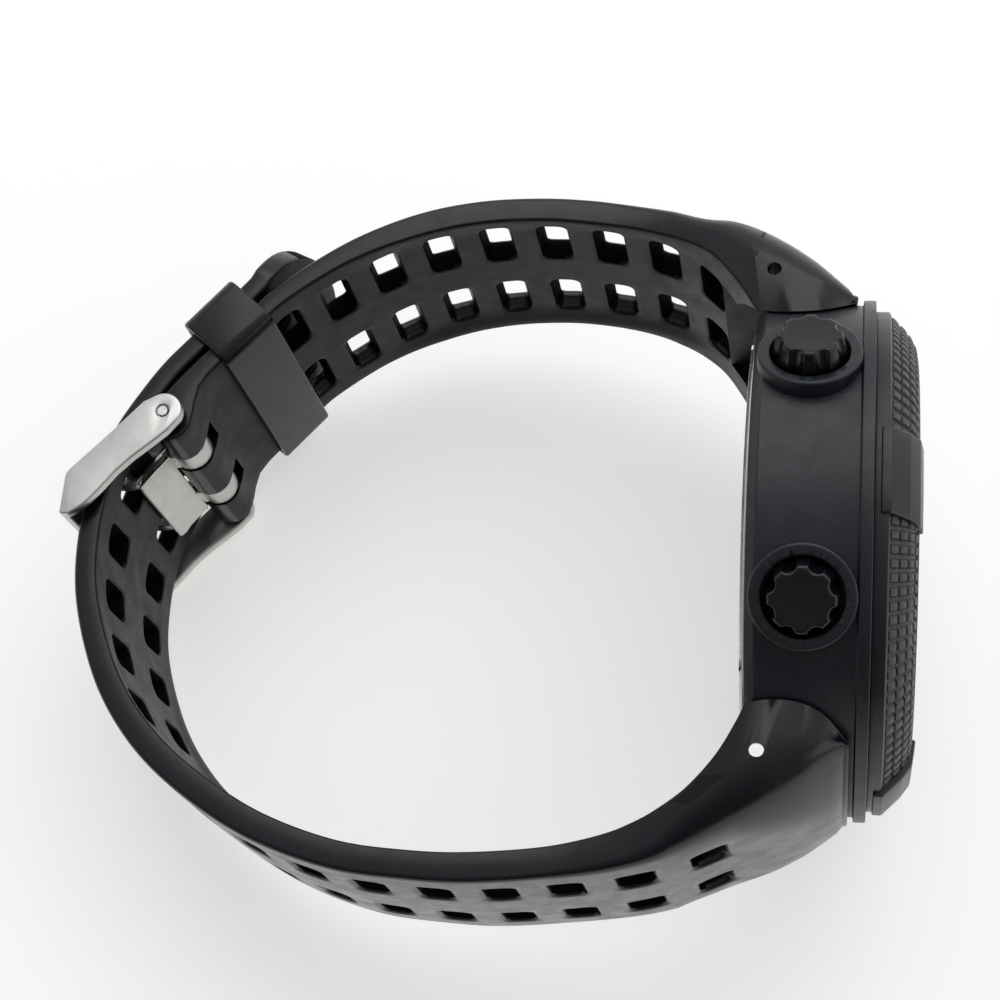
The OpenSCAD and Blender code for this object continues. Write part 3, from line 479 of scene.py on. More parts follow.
# rows of a strap: each has a name, and functions of the column for the outer and the inner face
def end_height(j):
    """Height of a row of the thick end, from its round top edge to its foot."""
    if j < TOP_ROWS:
        return BLOCK_TOP - TOP_R * (1 - cos(STEP * (j + 1)))
    share = (j + 1 - TOP_ROWS) / (FACE_ROWS - TOP_ROWS)
    return BLOCK_TOP - TOP_R - (BLOCK_TOP - TOP_R - END_FOOT) * share ** 1.3


def end_row(strap, u0, j):
    """Row of the thick end, between its outer face and the face towards the case, down to u0."""
    z_row = end_height(j)
    below = (j + 1 - FACE_ROWS) / (END_ROWS + 1 - FACE_ROWS)
    u_row = strap.u_at(end_height(min(j, FACE_ROWS - 1)))
    u_row += (u0 - u_row) * max(0, below)

    def outer(c):
        if j < TOP_ROWS:
            x, drop = strap.column(c, soft_width(z_row), table(BLOCK_TOP, EDGES_OUT))
            p = strap.out_point(0.10, x, drop + TOP_R * (1 - sin(STEP * (j + 1))))
            return (p[0], p[1], z_row - drop * EDGE_DIP)
        p, drop = strap.outer_at(u_row, c)
        return (p[0], p[1], p[2] - drop * EDGE_DIP * clamp(1 - (j + 1 - TOP_ROWS) / 8, 0, 1))

    def inner(c):
        x, rise = strap.column(c, soft_width(max(z_row, END_FOOT)), EDGE_IN)
        start = strap.case_start(x)
        if j >= FACE_ROWS:
            start = min(start, u0 - 0.02)
            return strap.inner_at(start + (u0 - start) * below, c)
        t = (BLOCK_TOP - z_row) / (BLOCK_TOP - END_FOOT)
        z = (BLOCK_TOP - 0.1 - rise * 0.8) * (1 - t) + (strap.at(strap.inner, min(start, u0)).y + rise) * t
        r = table(-z, END_FACE)
        return (x, strap.side * (sqrt(r * r - x * x) + 0.4 * rise), z)

    return ("end", j), outer, inner


def band_row(strap, s):
    """Row of the band, at a length s."""
    u = strap.u(s)
    return ("s", round(s, 4)), lambda c: strap.outer_at(u, c)[0], lambda c: strap.inner_at(u, c)


def tip_row(strap, s1, j):
    """Row of the tail's round end, whose columns bend round with it."""
    start = strap.length - TIP_R
    a0 = asin((s1 - start) / TIP_R)
    a = a0 + (pi / 2 - a0) * j / TIP_ROWS

    def bent(c, edge, point):
        x, drop = strap.column(c, HALF_W, edge)
        s = s1 + abs(x) / HALF_W * (TIP_R * sin(a) - (s1 - start))
        return point(strap.u(s), x * cos(a), drop)

    return (("tip", j), lambda c: bent(c, EDGE_OUT, strap.out_point),
            lambda c: bent(c, EDGE_IN, strap.in_point))


def roll_rows(strap, s1):
    """Rows towards the bar, in the clasp's (s, n): straight, then round the roll beside the notches."""
    axis = (-11.53, -3.14)
    start = CLASP_S[0] - (s1 - strap.run_to(CLASP_FROM))
    flat = (start, start - 2, start - 4, -3.4)
    out_line = [(s, -LAP_IN) for s in flat] + [(-5.6, -0.1), (-7.2, -0.12), (-8.33, -0.16), (-9.6, -0.32)]
    in_line = [(s, -CLASP_T - LAP_IN) for s in flat]
    in_line += [(-5.2, -2.52), (-6.9, -2.8), (-8.33, -3.65), (-9.35, -4.45)]
    out_line += arc(axis, ROLL_R, (84, 112, 135, 156, 176, 194))
    in_line += arc(axis, ROLL_R, (306, 286, 266, 244, 220, 194))

    def row(j):
        shift = clamp(j / 3, 0, 1)

        def way(line):
            """Out of the strap where it is straight, and away from the axis in the roll."""
            if j >= FLAT_ROWS:
                return Vector((line[j][0] - axis[0], line[j][1] - axis[1])).normalized()
            d = Vector((line[j + 1][0] - line[j - 1][0], line[j + 1][1] - line[j - 1][1])).normalized()
            return Vector((-d.y, d.x)) if d.x > 0 else Vector((d.y, -d.x))

        def outer(c):
            x, drop = strap.column(c, HALF_W, EDGE_OUT, shift)
            crown = CROWN * (abs(x) / HALF_W) ** 2.2 * clamp(1 - (j - NOTCH_ROW) / 3, 0, 1)
            q = Vector(out_line[j]) - way(out_line) * (drop + crown)
            return (x, *clasp(q.x, q.y))

        def inner(c):
            x, rise = strap.column(c, HALF_W, EDGE_IN, shift)
            q = Vector(in_line[j]) + way(in_line) * (-rise if j >= FLAT_ROWS else rise)
            return (x, *clasp(q.x, q.y))

        return ("roll", j), outer, inner

    return [row(j) for j in range(1, len(out_line))]


class Skin:
    """Vertices by name, so that neighbouring faces share them."""

    def __init__(self):
        self.verts, self.faces, self.names = [], [], {}

    def v(self, name, point):
        if name not in self.names:
            self.names[name] = len(self.verts)
            self.verts.append(point() if callable(point) else point)
        return self.names[name]

    def quad(self, *ids):
        keep = tuple(dict.fromkeys(ids))
        if len(keep) > 2:
            self.faces.append(keep)


def hole_loop(grow, hole_w):
    """Rounded hole outline as (s, x) offsets, with CELL_N points a side, in step with the cell's edge."""
    rc = HOLE_ROUND + grow
    hs, hx = HOLE_L / 2 + grow - rc, hole_w / 2 + grow - rc
    corners = [(-hs, -hx), (-hs, hx), (hs, hx), (hs, -hx)]

    def at(q, a):
        return (corners[q % 4][0] + rc * cos(a), corners[q % 4][1] + rc * sin(a))

    points = []
    for q in range(4):
        base = radians(225 - 90 * q)          # direction of the corner's middle, from +s to +x
        side = base - radians(45)             # direction of the side between this corner and the next
        points += [at(q, base - STEP * i) for i in (0, 1, 2)]
        points += [mix(at(q, side), at(q + 1, side), t) for t in (0.25, 0.5, 0.75)]
        points += [at(q + 1, side + STEP * i) for i in (0, -1)]
    return points


def hole_walls(skin, strap, vid, first, s, sign):
    """Rings from the edge of a hole's cell down through the strap."""
    edge = []
    for q in range(4):
        for i in range(CELL_N):
            row, col = ((0, i), (i, CELL_N), (CELL_N, CELL_N - i), (CELL_N - i, 0))[q]
            edge.append((first + row, col + (C0 if sign > 0 else -C1)))
    chains = {}
    for face, levels, taper in (("o", RIMS, strap.taper), ("i", MOUTHS, 0)):
        chains[face] = [[vid(face, r, c) for r, c in edge]]
        for n, (grow, depth) in enumerate(levels):
            ring = []
            for k, (ds, dx) in enumerate(hole_loop(grow - taper, strap.hole_w)):
                u, x = strap.u(s + ds), sign * HOLE_X + dx
                a, b = strap.out_point(u, x, 0), strap.in_point(u, x, 0)
                if face == "i":
                    a, b = b, a
                share = depth / (Vector(a) - Vector(b)).length
                ring.append(skin.v((face, "hole", s, sign, n, k), mix(a, b, share)))
            chains[face].append(ring)
    middle = []
    for k, (a, b) in enumerate(zip(chains["o"][-1], chains["i"][-1])):
        middle.append(skin.v(("hole", s, sign, k), mix(skin.verts[a], skin.verts[b], 0.5)))
    for face in bands(chains["o"] + [middle] + chains["i"][::-1]):
        skin.quad(*face)


def strap_mesh(strap, holes, tail):
    """Skin over rows along a strap and columns across it, with its holes."""
    skin = Skin()
    s1 = holes[-1] + CELL_S
    u0 = strap.u(holes[0] - CELL_S)
    rows = [end_row(strap, u0, j) for j in range(END_ROWS)]
    cells = []
    for s, following in zip(holes, holes[1:] + [None]):
        cells.append((len(rows), s))
        rows += [band_row(strap, s - CELL_S + 2 * CELL_S / CELL_N * i) for i in range(CELL_N + 1)]
        if following:
            rows += [band_row(strap, s + CELL_S + (following - s - 2 * CELL_S) * i / 3) for i in (1, 2)]
    notch_from = inf if tail else len(rows) - 1 + NOTCH_ROW
    rows += [tip_row(strap, s1, j) for j in range(1, TIP_ROWS + 1)] if tail else roll_rows(strap, s1)

    def vid(face, r, c):
        """Vertex at a row and column. The tip's last row closes on itself, and its middle is one point."""
        key, outer, inner = rows[r]
        if key == ("tip", TIP_ROWS):
            c = abs(c)
        if key[0] == "tip" and c == 0:
            key, outer, inner = rows[r - key[1]]
        return skin.v((face, key, c), lambda: outer(c) if face == "o" else inner(c))

    def gap(r, c):
        """Whether a hole's cell or a notch lies between columns c and c + 1."""
        in_cell = any(first <= r < first + CELL_N for first, _ in cells)
        return C0 <= abs(c + 0.5) <= C1 and (in_cell or r >= notch_from)

    def wall(a, b):
        skin.quad(vid("o", *a), vid("o", *b), vid("i", *b), vid("i", *a))

    low, high, end = 1 - NCOL, NCOL - 1, len(rows) - 1
    for r in range(end):
        for c in range(low, high):
            if not gap(r, c):
                corners = ((r, c), (r, c + 1), (r + 1, c + 1), (r + 1, c))
                for face in "oi":
                    skin.quad(*(vid(face, *corner) for corner in corners))
        for c in (low, high):
            wall((r, c), (r + 1, c))
    for c in range(low, high):
        for r in (0, end):
            if r == 0 or not (tail or gap(r, c)):
                skin.quad(vid("o", r, c), vid("i", r, c), vid("i", r, c + 1), vid("o", r, c + 1))
    if not tail:
        for sign in (-1, 1):
            for c in range(C0, C1):
                wall((notch_from, sign * c), (notch_from, sign * (c + 1)))
            for c in (C0, C1):
                for r in range(notch_from, end):
                    wall((r, sign * c), (r + 1, sign * c))
    for first, s in cells:
        for sign in (-1, 1):
            hole_walls(skin, strap, vid, first, s, sign)
    return skin.verts, skin.faces


# materials
def material(name, colour, rough, metal=0.0, specular=0.5, coat=0.0, coat_rough=0.2, ior=1.5):
    m = bpy.data.materials.new(name)
    m.use_nodes = True
    tree = m.node_tree
    shader = tree.nodes["Principled BSDF"]
    values = {"Base Color": (*colour, 1), "Roughness": rough, "Metallic": metal, "IOR": ior,
              "Specular IOR Level": specular, "Coat Weight": coat, "Coat Roughness": coat_rough}
    for k, v in values.items():
        shader.inputs[k].default_value = v
    return m, tree, shader


def node(tree, kind, **values):
    """A node with input or property values, where _ stands for a space in an input's name."""
    n = tree.nodes.new(kind)
    for k, v in values.items():
        if k.replace("_", " ") in n.inputs:
            n.inputs[k.replace("_", " ")].default_value = v
        else:
            setattr(n, k, v)
    return n


def noise(tree, scale, detail=3.0, rough=0.55, stretch=None):
    """Noise in the object's own metres; stretch scales it along the axes."""
    where = node(tree, "ShaderNodeTexCoord").outputs["Object"]
    if stretch:
        mapping = node(tree, "ShaderNodeMapping", Scale=stretch)
        tree.links.new(where, mapping.inputs["Vector"])
        where = mapping.outputs["Vector"]
    n = node(tree, "ShaderNodeTexNoise", Scale=scale, Detail=detail, Roughness=rough)
    tree.links.new(where, n.inputs["Vector"])
    return n.outputs["Fac"]


def ramp(tree, source, stops):
    r = node(tree, "ShaderNodeValToRGB")
    e = r.color_ramp.elements
    while len(e) > 1:
        e.remove(e[-1])
    e[0].position, e[0].color = stops[0][0], (*stops[0][1], 1)
    for p, c in stops[1:]:
        e.new(p).color = (*c, 1)
    tree.links.new(source, r.inputs["Fac"])
    return r.outputs["Color"]


def spread(tree, source, low, high, start=0.3, stop=0.7):
    """Takes a value from the range start to stop to the range low to high."""
    r = node(tree, "ShaderNodeMapRange", From_Min=start, From_Max=stop, To_Min=low, To_Max=high)
    tree.links.new(source, r.inputs["Value"])
    return r.outputs["Result"]


def maths(tree, how, a, b):
    """Works on two sockets, or on a socket and a number."""
    n = node(tree, "ShaderNodeMath", operation=how)
    for socket, value in zip(n.inputs, (a, b)):
        if isinstance(value, float):
            socket.default_value = value
        else:
            tree.links.new(value, socket)
    return n.outputs[0]


def bump(tree, shader, source, strength, distance):
    b = node(tree, "ShaderNodeBump", Strength=strength, Distance=distance)
    tree.links.new(source, b.inputs["Height"])
    old = shader.inputs["Normal"].links
    if old:
        tree.links.new(old[0].from_socket, b.inputs["Normal"])
    tree.links.new(b.outputs["Normal"], shader.inputs["Normal"])


def colour_by(tree, shader, source, *stops):
    tree.links.new(ramp(tree, source, stops), shader.inputs["Base Color"])


def rough_by(tree, shader, source, low, high):
    tree.links.new(spread(tree, source, low, high), shader.inputs["Roughness"])


def lift(colour, k):
    return tuple(min(1, v * k) for v in colour)


def resin(name, colour, rough, grain, glint_level, specular=0.45):
    """Moulded resin: a fine matte grain, faint cloudiness, and painted glints and shade on the grain, its
    raised points lighter and its pits darker.
    """
    m, tree, shader = material(name, colour, rough, specular=specular)
    cloud = noise(tree, 140, 4, 0.6)
    fine = noise(tree, 7000, 2, 0.5)
    mixed = node(tree, "ShaderNodeMix", data_type="RGBA", blend_type="MULTIPLY")
    mixed.inputs["Factor"].default_value = 1
    clouds = [(0.3, lift(colour, 0.82)), (0.7, lift(colour, 1.18))]
    # the grain's raised points painted lighter and its pits darker: painted glints and painted shade on the
    # grain
    glint_stops = [(0.25, (0.8, 0.8, 0.8)), (0.6, (1, 1, 1)), (0.78, (glint_level, glint_level, glint_level))]
    tree.links.new(ramp(tree, cloud, clouds), mixed.inputs["A"])
    tree.links.new(ramp(tree, fine, glint_stops), mixed.inputs["B"])
    tree.links.new(mixed.outputs["Result"], shader.inputs["Base Color"])
    rough_by(tree, shader, noise(tree, 420, 4, 0.6), rough - 0.06, rough + 0.08)
    bump(tree, shader, fine, grain, 0.00002)
    bump(tree, shader, noise(tree, 900, 3, 0.5), 0.12, 0.00005)
    return m


def metal(name, colour, rough, stretch, scale, strength):
    """Metal with a fine finish; stretch draws it out into brushed lines."""
    m, tree, shader = material(name, colour, rough, metal=1.0)
    line = noise(tree, scale, 3, 0.6, stretch)
    colour_by(tree, shader, noise(tree, 260, 4, 0.6), (0.3, lift(colour, 0.88)), (0.7, lift(colour, 1.06)))
    rough_by(tree, shader, line, rough - 0.07, rough + 0.07)
    bump(tree, shader, line, strength, 0.00003)
    return m


def lcd_panel():
    m, tree, shader = material("display", (0.33, 0.36, 0.31), 0.16, specular=0.6, coat=0.6, coat_rough=0.05)
    colour_by(tree, shader, noise(tree, 9000, 2, 0.5), (0.3, (0.30, 0.33, 0.285)), (0.7, (0.36, 0.39, 0.335)))
    rough_by(tree, shader, noise(tree, 300, 3), 0.12, 0.22)
    return m


def board():
    m, tree, shader = material("board_green", (0.012, 0.11, 0.045), 0.35)
    cell = node(tree, "ShaderNodeTexVoronoi", Scale=620.0, distance="MANHATTAN")
    tree.links.new(node(tree, "ShaderNodeTexCoord").outputs["Object"], cell.inputs["Vector"])
    colour_by(tree, shader, cell.outputs["Distance"],
              (0.0, (0.20, 0.33, 0.10)), (0.10, (0.014, 0.12, 0.05)), (0.9, (0.009, 0.085, 0.035)))
    bump(tree, shader, cell.outputs["Distance"], 0.15, 0.00004)
    return m


def light_panel():
    m, tree, shader = material("light_panel", (0.66, 0.70, 0.66), 0.45)
    colour_by(tree, shader, noise(tree, 3000, 2), (0.3, (0.60, 0.65, 0.61)), (0.7, (0.70, 0.74, 0.70)))
    return m


def window():
    m, tree, shader = material("window", (0.93, 0.95, 0.96), 0.03, ior=1.49)
    shader.inputs["Transmission Weight"].default_value = 1.0
    rough_by(tree, shader, noise(tree, 500, 3), 0.015, 0.05)
    return m


CASE = resin("case_resin", (0.0076, 0.0098, 0.0138), 0.38, 0.40, 3.4)
BEZEL = resin("bezel_resin", (0.0098, 0.0112, 0.0138), 0.36, 0.25, 1.8)
STRAP = resin("strap_resin", (0.0028, 0.0036, 0.0058), 0.24, 0.20, 1.6, 0.42)
STRAP_IN = resin("strap_inside", (0.0026, 0.0034, 0.0056), 0.44, 0.22, 1.4, 0.26)
# the holes' walls: a darker, almost mirror-free copy of the strap resin, painted shade inside the holes
STRAP_WALL_SHADE = resin("strap_hole_walls", (0.0016, 0.0017, 0.0020), 0.70, 0.15, 1.3, 0.04)
# a lighter copy of the bezel resin for the knurl: painted highlight where light falls on the pads
KNURL_PAINTED_LIGHT = resin("knurl_resin", (0.042, 0.043, 0.046), 0.42, 0.20, 1.5, 0.5)
CAP = resin("cap_resin", (0.0022, 0.0026, 0.0038), 0.20, 0.08, 1.3, 0.42)
SATIN = metal("steel_brushed", (0.60, 0.585, 0.565), 0.34, (1, 0.06, 1), 5200, 0.10)
BRIGHT = metal("steel_bright", (0.72, 0.715, 0.70), 0.22, None, 2600, 0.04)
BACK = metal("back_steel", (0.62, 0.61, 0.60), 0.30, (1, 0.05, 1), 4200, 0.08)
BRASS = metal("brass", (0.72, 0.50, 0.22), 0.3, None, 2200, 0.06)
MARKS = resin("mark_ink", (0.52, 0.53, 0.54), 0.5, 0.15, 1.05)
PUSHER_STEEL = [kind + "_" + name for kind in ("stem", "clip", "spring") for name in PUSHERS]

# the CAD pieces that keep their form, and those that the dressed ones replace, by look
DRESS = [
    (window(), ["crystal"]),
    (resin("seal_rubber", (0.012, 0.012, 0.013), 0.6, 0.3, 1.2),
     ["crystal_gasket", "back_gasket", "pusher_seals"]),
    (resin("dial_print", (0.014, 0.015, 0.018), 0.55, 0.35, 1.4), ["dial_ring", "dial_mask"]),
    (lcd_panel(), ["lcd_glass"]),
    (resin("ink", (0.010, 0.011, 0.012), 0.4, 0.1, 1.1), ["lcd_segments"]),
    (light_panel(), ["backlight_panel"]),
    (resin("pink_rubber", (0.55, 0.23, 0.22), 0.55, 0.3, 1.1), ["zebra_strips"]),
    (resin("module_plastic", (0.035, 0.036, 0.038), 0.5, 0.3, 1.3), ["module_frame"]),
    (board(), ["circuit_board"]),
    (resin("chip_black", (0.012, 0.012, 0.013), 0.32, 0.12, 1.2), ["board_parts"]),
    (BRASS, ["pusher_contacts", "piezo_disc"]),
    (BRIGHT, ["battery", "battery_clip", "battery_clip_screws", "buzzer_spring", "case_back_screws",
              "lug_pins", "buckle_bar", "buckle_bar_tip", "buckle_bar_spring"] + PUSHER_STEEL),
]
for look, names in DRESS:
    for name in names:
        NODES[name].data.materials.clear()
        NODES[name].data.materials.append(look)


# strap halves
SIDEWAYS = world_way((1, 0, 0))
LOOP_MIDDLE = Vector(world((0, 0, -42)))
WALLS_TO = 8.9      # the holes' walls lie nearer the middle


def strap_look(face, tail):
    """Material of a strap's face: 1 where it looks into the loop, 2 for a wall of a hole, which carries
    painted shade, else 0.
    """
    to = LOOP_MIDDLE - face.center
    to -= SIDEWAYS * to.dot(SIDEWAYS)
    facing = face.normal.dot(to.normalized())
    x, y, z = local(face.center)
    # the runs beside the hand, and the tail's below it up to the clasp
    by_holes = (abs(y) > 20 and -67 < z < -15) or (tail and z < -60 and y < 8)
    if abs(x) < WALLS_TO and abs(facing) < 0.5 and by_holes:
        return 2
    return 1 if facing > 0.45 and to.length > 8 * MM else 0


def strap_piece(name, strap, holes, tail):
    side = strap.side
    ob = mesh_from(name, *strap_mesh(strap, holes, tail))
    room, inward = LUG_R + 0.2, 15
    notch = [(inward, LUG_Z - 6), (LUG_Y + room, LUG_Z - 6)]
    notch += arc((LUG_Y, LUG_Z), room, range(0, 91, 10)) + [(inward, LUG_Z + room)]
    notch_half = LUG_HALF + 0.2
    carve(ob, slab([(side * y, z) for y, z in notch], -notch_half, notch_half, 0.0, steps=1))
    bore(ob, (side * LUG_Y, LUG_Z), PIN_R + PIN_PLAY, 20, 32)
    if not tail:
        bore(ob, BAR, BAR_BORE, 14, 40)
    finish_piece(ob, "case", STRAP, [name + "_half"], 38)
    # the inner faces get the matte resin, and the holes' walls get the darker one with painted shade
    ob.data.materials.append(STRAP_IN)
    ob.data.materials.append(STRAP_WALL_SHADE)
    for face in ob.data.polygons:
        face.material_index = strap_look(face, tail)


buckle_strap = Strap(BUCKLE_PATH, 1, VENT_W, [(3.2, 0), (5, 1), (10.4, 1), (11.8, 0)], 0.36)
tail_strap = Strap(TAIL_PATH, -1, HOLE_W, [(3.2, 0), (5, 1), (13, 1), (16, 0)], 0.05)
TAIL_HOLD = tail_strap.run_to(17) + 6
strap_piece("strap_buckle", buckle_strap, [10.6 + PITCH * k for k in range(9)], False)
strap_piece("strap_tail", tail_strap, [TAIL_HOLD + PITCH * k for k in range(-14, 5)], True)


# case and back
def screw_holes(ob, outline, segments):
    for k in range(4):
        a = radians(45 + 90 * k)
        x, y = SCREW_AT * cos(a), SCREW_AT * sin(a)
        carve(ob, moved(lathe(outline, segments, False), lambda v: (v[0] + x, v[1] + y, v[2])))


def case_shell():
    low, stem_bore, seal_bore = -CASE_DEPTH, STEM_R + FIT, STEM_R + 0.7
    ring = [(RECESS_R, low), (CASE_R - CHAMFER, low), (CASE_R, low + CHAMFER), (CASE_R, -FLANGE_Z),
            (FLANGE_R, -FLANGE_Z), (FLANGE_R, FLANGE_Z), (NECK_R, FLANGE_Z), (NECK_R, NECK_Z),
            (SEAT_R, NECK_Z), (SEAT_R, SEAT_Z), (LEDGE_R, SEAT_Z), (LEDGE_R, LEDGE_Z),
            (CAVITY_R, LEDGE_Z), (CAVITY_R, BACK_Z), (GASKET_IN, BACK_Z), (GASKET_IN, GASKET_Z),
            (GASKET_OUT, GASKET_Z), (GASKET_OUT, BACK_Z), (RECESS_R, BACK_Z)]
    soften = [0.12, 0.3, 0.35, 0.14, 0.14, 0.14, 0.05] + [0.06] * 12
    ob = mesh_from("case_shell", *lathe(soft(ring, soften), 288))
    for s in (-1, 1):
        lug = arc((s * LUG_Y, LUG_Z), LUG_R, [-56 + 292 * k / 40 for k in range(41)])
        carve(ob, slab(lug, -LUG_HALF, LUG_HALF, 0.2), "UNION")
    top = COLLAR_TOP
    collar = soft([(0, 21.2), (COLLAR_R, 21.2), (COLLAR_R, top), (0, top)], [0, 0, 0.28, 0], False, 5)
    well = [(0, 17), (stem_bore, 17), (stem_bore, 22.4), (seal_bore, 22.4), (seal_bore, WELL_FLOOR),
            (WELL_R, WELL_FLOOR), (WELL_R, top - 0.16), (WELL_R + 0.05, top - 0.06), (WELL_R + 0.16, top),
            (WELL_R + 0.3, top + 1), (0, top + 1)]
    for name in PUSHERS:
        carve(ob, moved(lathe(collar, 96, False), on_pusher(name)), "UNION")
        carve(ob, moved(lathe(well, 96, False), on_pusher(name)))
    screw_holes(ob, [(0, -11), (SCREW_R, -11), (SCREW_R, -7.3), (0, -7.3)], 20)
    for s in (-1, 1):
        bore(ob, (s * LUG_Y, LUG_Z), PIN_R + PIN_PLAY, 20, 32)
    finish_piece(ob, "case", CASE, ["case_body"], 30)


def back_plate():
    low = BACK_Z - BACK_T
    edge = [(0, BACK_Z), (BACK_R, BACK_Z), (BACK_R, BACK_Z - 0.55), (BACK_R - 0.5, low), (0, low)]
    ob = mesh_from("back_plate", *lathe(soft(edge, [0, 0.05, 0.25, 0.3, 0], False), 256, False))
    head, shank = HEAD_R + FIT, SCREW_R + FIT
    screw_holes(ob, [(0, -12), (head, -12), (head, -10.8), (shank, -10.8), (shank, -10), (0, -10)], 40)
    finish_piece(ob, "case", BACK, ["case_back"], 30)


case_shell()
back_plate()

# bezel: a plain base, rows of small pads cut by grooves, their faces lighter with painted highlight, and four
# bare raised blocks
# KNURL: ends of the rows. PAD: a pad's section, as share and height. CUTS: from a pad's middle to a groove's.
KNURL = [(24.42, 2.12), (23.62, 2.98), (22.72, 3.78), (21.75, 4.38), (20.72, 4.70)]
PAD = [(0.02, -0.26), (0.10, 0.0), (0.30, 0.045), (0.62, 0.03), (0.88, -0.04), (0.97, -0.26)]
GROOVES, CUTS = 118, [0.02, 0.0, 0.0, -0.20, -0.26]
SEAT = NECK_R + FIT


def bezel_ring():
    half = len(CUTS) - 1
    segments = GROOVES * 2 * half
    verts, rows = [], []

    def ring(point):
        rows.append(range(len(verts), len(verts) + segments))
        for k in range(segments):
            r, z = point(k)
            a = 2 * pi * k / segments
            verts.append((r * cos(a), r * sin(a), z))

    base = [(SEAT, FLANGE_Z), (BEZEL_R, FLANGE_Z), (BEZEL_R, 1.9), (24.62, 2.08)]
    for p in soft(base, [0, 0.12, 0.14, 0], False):
        ring(lambda k: p)
    for (r0, z0), (r1, z1) in zip(KNURL, KNURL[1:]):
        d = Vector((r1 - r0, z1 - z0))
        n = Vector((d.y, -d.x)).normalized()
        for t, h in PAD:
            def point(k):
                cut = CUTS[abs(k % (2 * half) - half)]
                depth = min(h, cut) if cut < 0 else h + cut
                return (r0 + d.x * t + n.x * depth, z0 + d.y * t + n.y * depth)
            ring(point)
    lip = [(20.66, 4.58), (20.45, 4.74), (LIP_R, 4.74), (LIP_R, NECK_Z + FIT), (SEAT, NECK_Z + FIT)]
    for p in soft(lip, [0, 0.1, 0.2, 0.06, 0], False):
        ring(lambda k: p)
    return verts, bands(rows + rows[:1])


def bezel_block(turn):
    """A smooth raised block that bridges the pads, drawn at 3 o'clock and turned."""
    edge_r, half, e = BEZEL_R + BLOCK_OVER, BLOCK_W / 2, 0.16
    line = [(24.2, 1.2), (edge_r, 1.2), (edge_r, 2.1), (23.5, 3.85), (22.2, 4.75), (19.7, 5.1), (19.7, 4.0)]
    outer = soft(line, [0, 0.15, 0.25, 0.5, 0.5, 0.2, 0], False)
    side = [(half - e + e * sin(STEP * k), e * (1 - cos(STEP * k))) for k in range(4, 0, -1)]
    across = [(-x, drop) for x, drop in side] + [(k / 4 * (half - e), 0) for k in range(-4, 5)] + side[::-1]
    ca, sa = cos(turn), sin(turn)
    verts, rows = [], []

    def row(r, z, n):
        rows.append(range(len(verts), len(verts) + len(across)))
        for x, drop in across:
            y = sqrt((r - n.x * drop) ** 2 - x * x)
            verts.append((y * ca - x * sa, y * sa + x * ca, z - n.y * drop))

    for i, (r, z) in enumerate(outer):
        d = (Vector(outer[min(len(outer) - 1, i + 1)]) - Vector(outer[max(0, i - 1)])).normalized()
        row(r, z, Vector((d.y, -d.x)))
    row(22.2, 3.7, Vector((0, 0)))
    faces = bands([rows[-1]] + rows, False)
    faces += [tuple(row[c] for row in rows) for c in (0, len(across) - 1)]
    return verts, faces


def bezel():
    ob = mesh_from("bezel_ring", *join(bezel_ring(), *(bezel_block(pi / 2 * k) for k in range(4))))
    finish_piece(ob, "case", BEZEL, ["bezel"], 28)
    ob.data.materials.append(KNURL_PAINTED_LIGHT)
    widest = 0.25 * MM * MM    # the blocks' faces are larger than the pads'
    # the knurl's small faces take the lighter resin: painted highlight
    for face in ob.data.polygons:
        x, y, z = local(face.center)
        small = len(face.vertices) == 4 and face.area < widest
        if small and 2.0 < z < 4.72 and 20.6 < hypot(x, y) < 24.7:
            face.material_index = 1


bezel()

# pusher caps with eight flutes, and their return springs
FLUTES, FLUTE_R, FLUTE_AT, FLUTE_Z, FLUTE_LEAN = 8, 0.85, CAP_R + 0.55, 26.31, radians(14)
FACE_R, FACE_FROM = 3.0, 28.2


def fluted(r, z, a):
    """Radius of a cap at a height and angle, with its flutes."""
    if z < FLUTE_Z - 0.35 or r < 1.4:
        return r
    centre = FLUTE_AT - (z - FLUTE_Z) * tan(FLUTE_LEAN)
    phi = a % (2 * pi / FLUTES) - pi / FLUTES
    side = abs(centre * sin(phi))
    deep = FLUTE_R * clamp((z - FLUTE_Z + 0.35) / 0.35, 0, 1) ** 0.5
    limit = centre * cos(phi) - sqrt(deep * deep - side * side) if side < deep else r + 1
    return softmin(r, limit, 0.12)


def scallop(r, z, a):
    """The same with the face, which follows the flutes less and less towards its middle."""
    if z > FACE_FROM and r < FACE_R:
        share = clamp((r - 1.6) / 1.4, 0, 1)
        return r * (1 + (fluted(FACE_R, z, a) / FACE_R - 1) * share)
    return fluted(r, z, a)


def cap_line():
    """Outline of a cap from its hollow to the middle of its face, cut finer along the flutes."""
    line = soft([(STEM_R, STEM_TOP), (STEM_R, 25.4), (1.3, 25.4), (1.3, CAP_ROOF), (2.5, CAP_ROOF),
                 (2.5, CAP_FOOT), (CAP_R, CAP_FOOT), (CAP_R, 26.56), (3.05, 28.46), (2.9, CAP_TOP)],
                [0, 0.05, 0.05, 0, 0, 0.1, 0.15, 0.4, 0, 0], False)
    made = []
    for (r0, z0), (r1, z1) in zip(line, line[1:]):
        steps = 8 if z0 >= 26.0 and r0 > 2.95 and z1 - z0 > 0.5 else 1
        made += [(r0 + (r1 - r0) * k / steps, z0 + (z1 - z0) * k / steps) for k in range(steps)]
    made = [(r, z) for r, z in made if r <= 2.8 or z <= 28.3]
    made += [(3.09, 28.30), (3.055, 28.45), (2.98, 28.60), (2.86, 28.685), (2.72, CAP_TOP), (2.4, 28.70)]
    return made + [(1.8, 28.66), (0.9, 28.63), (0, 28.62), (0, STEM_TOP)]


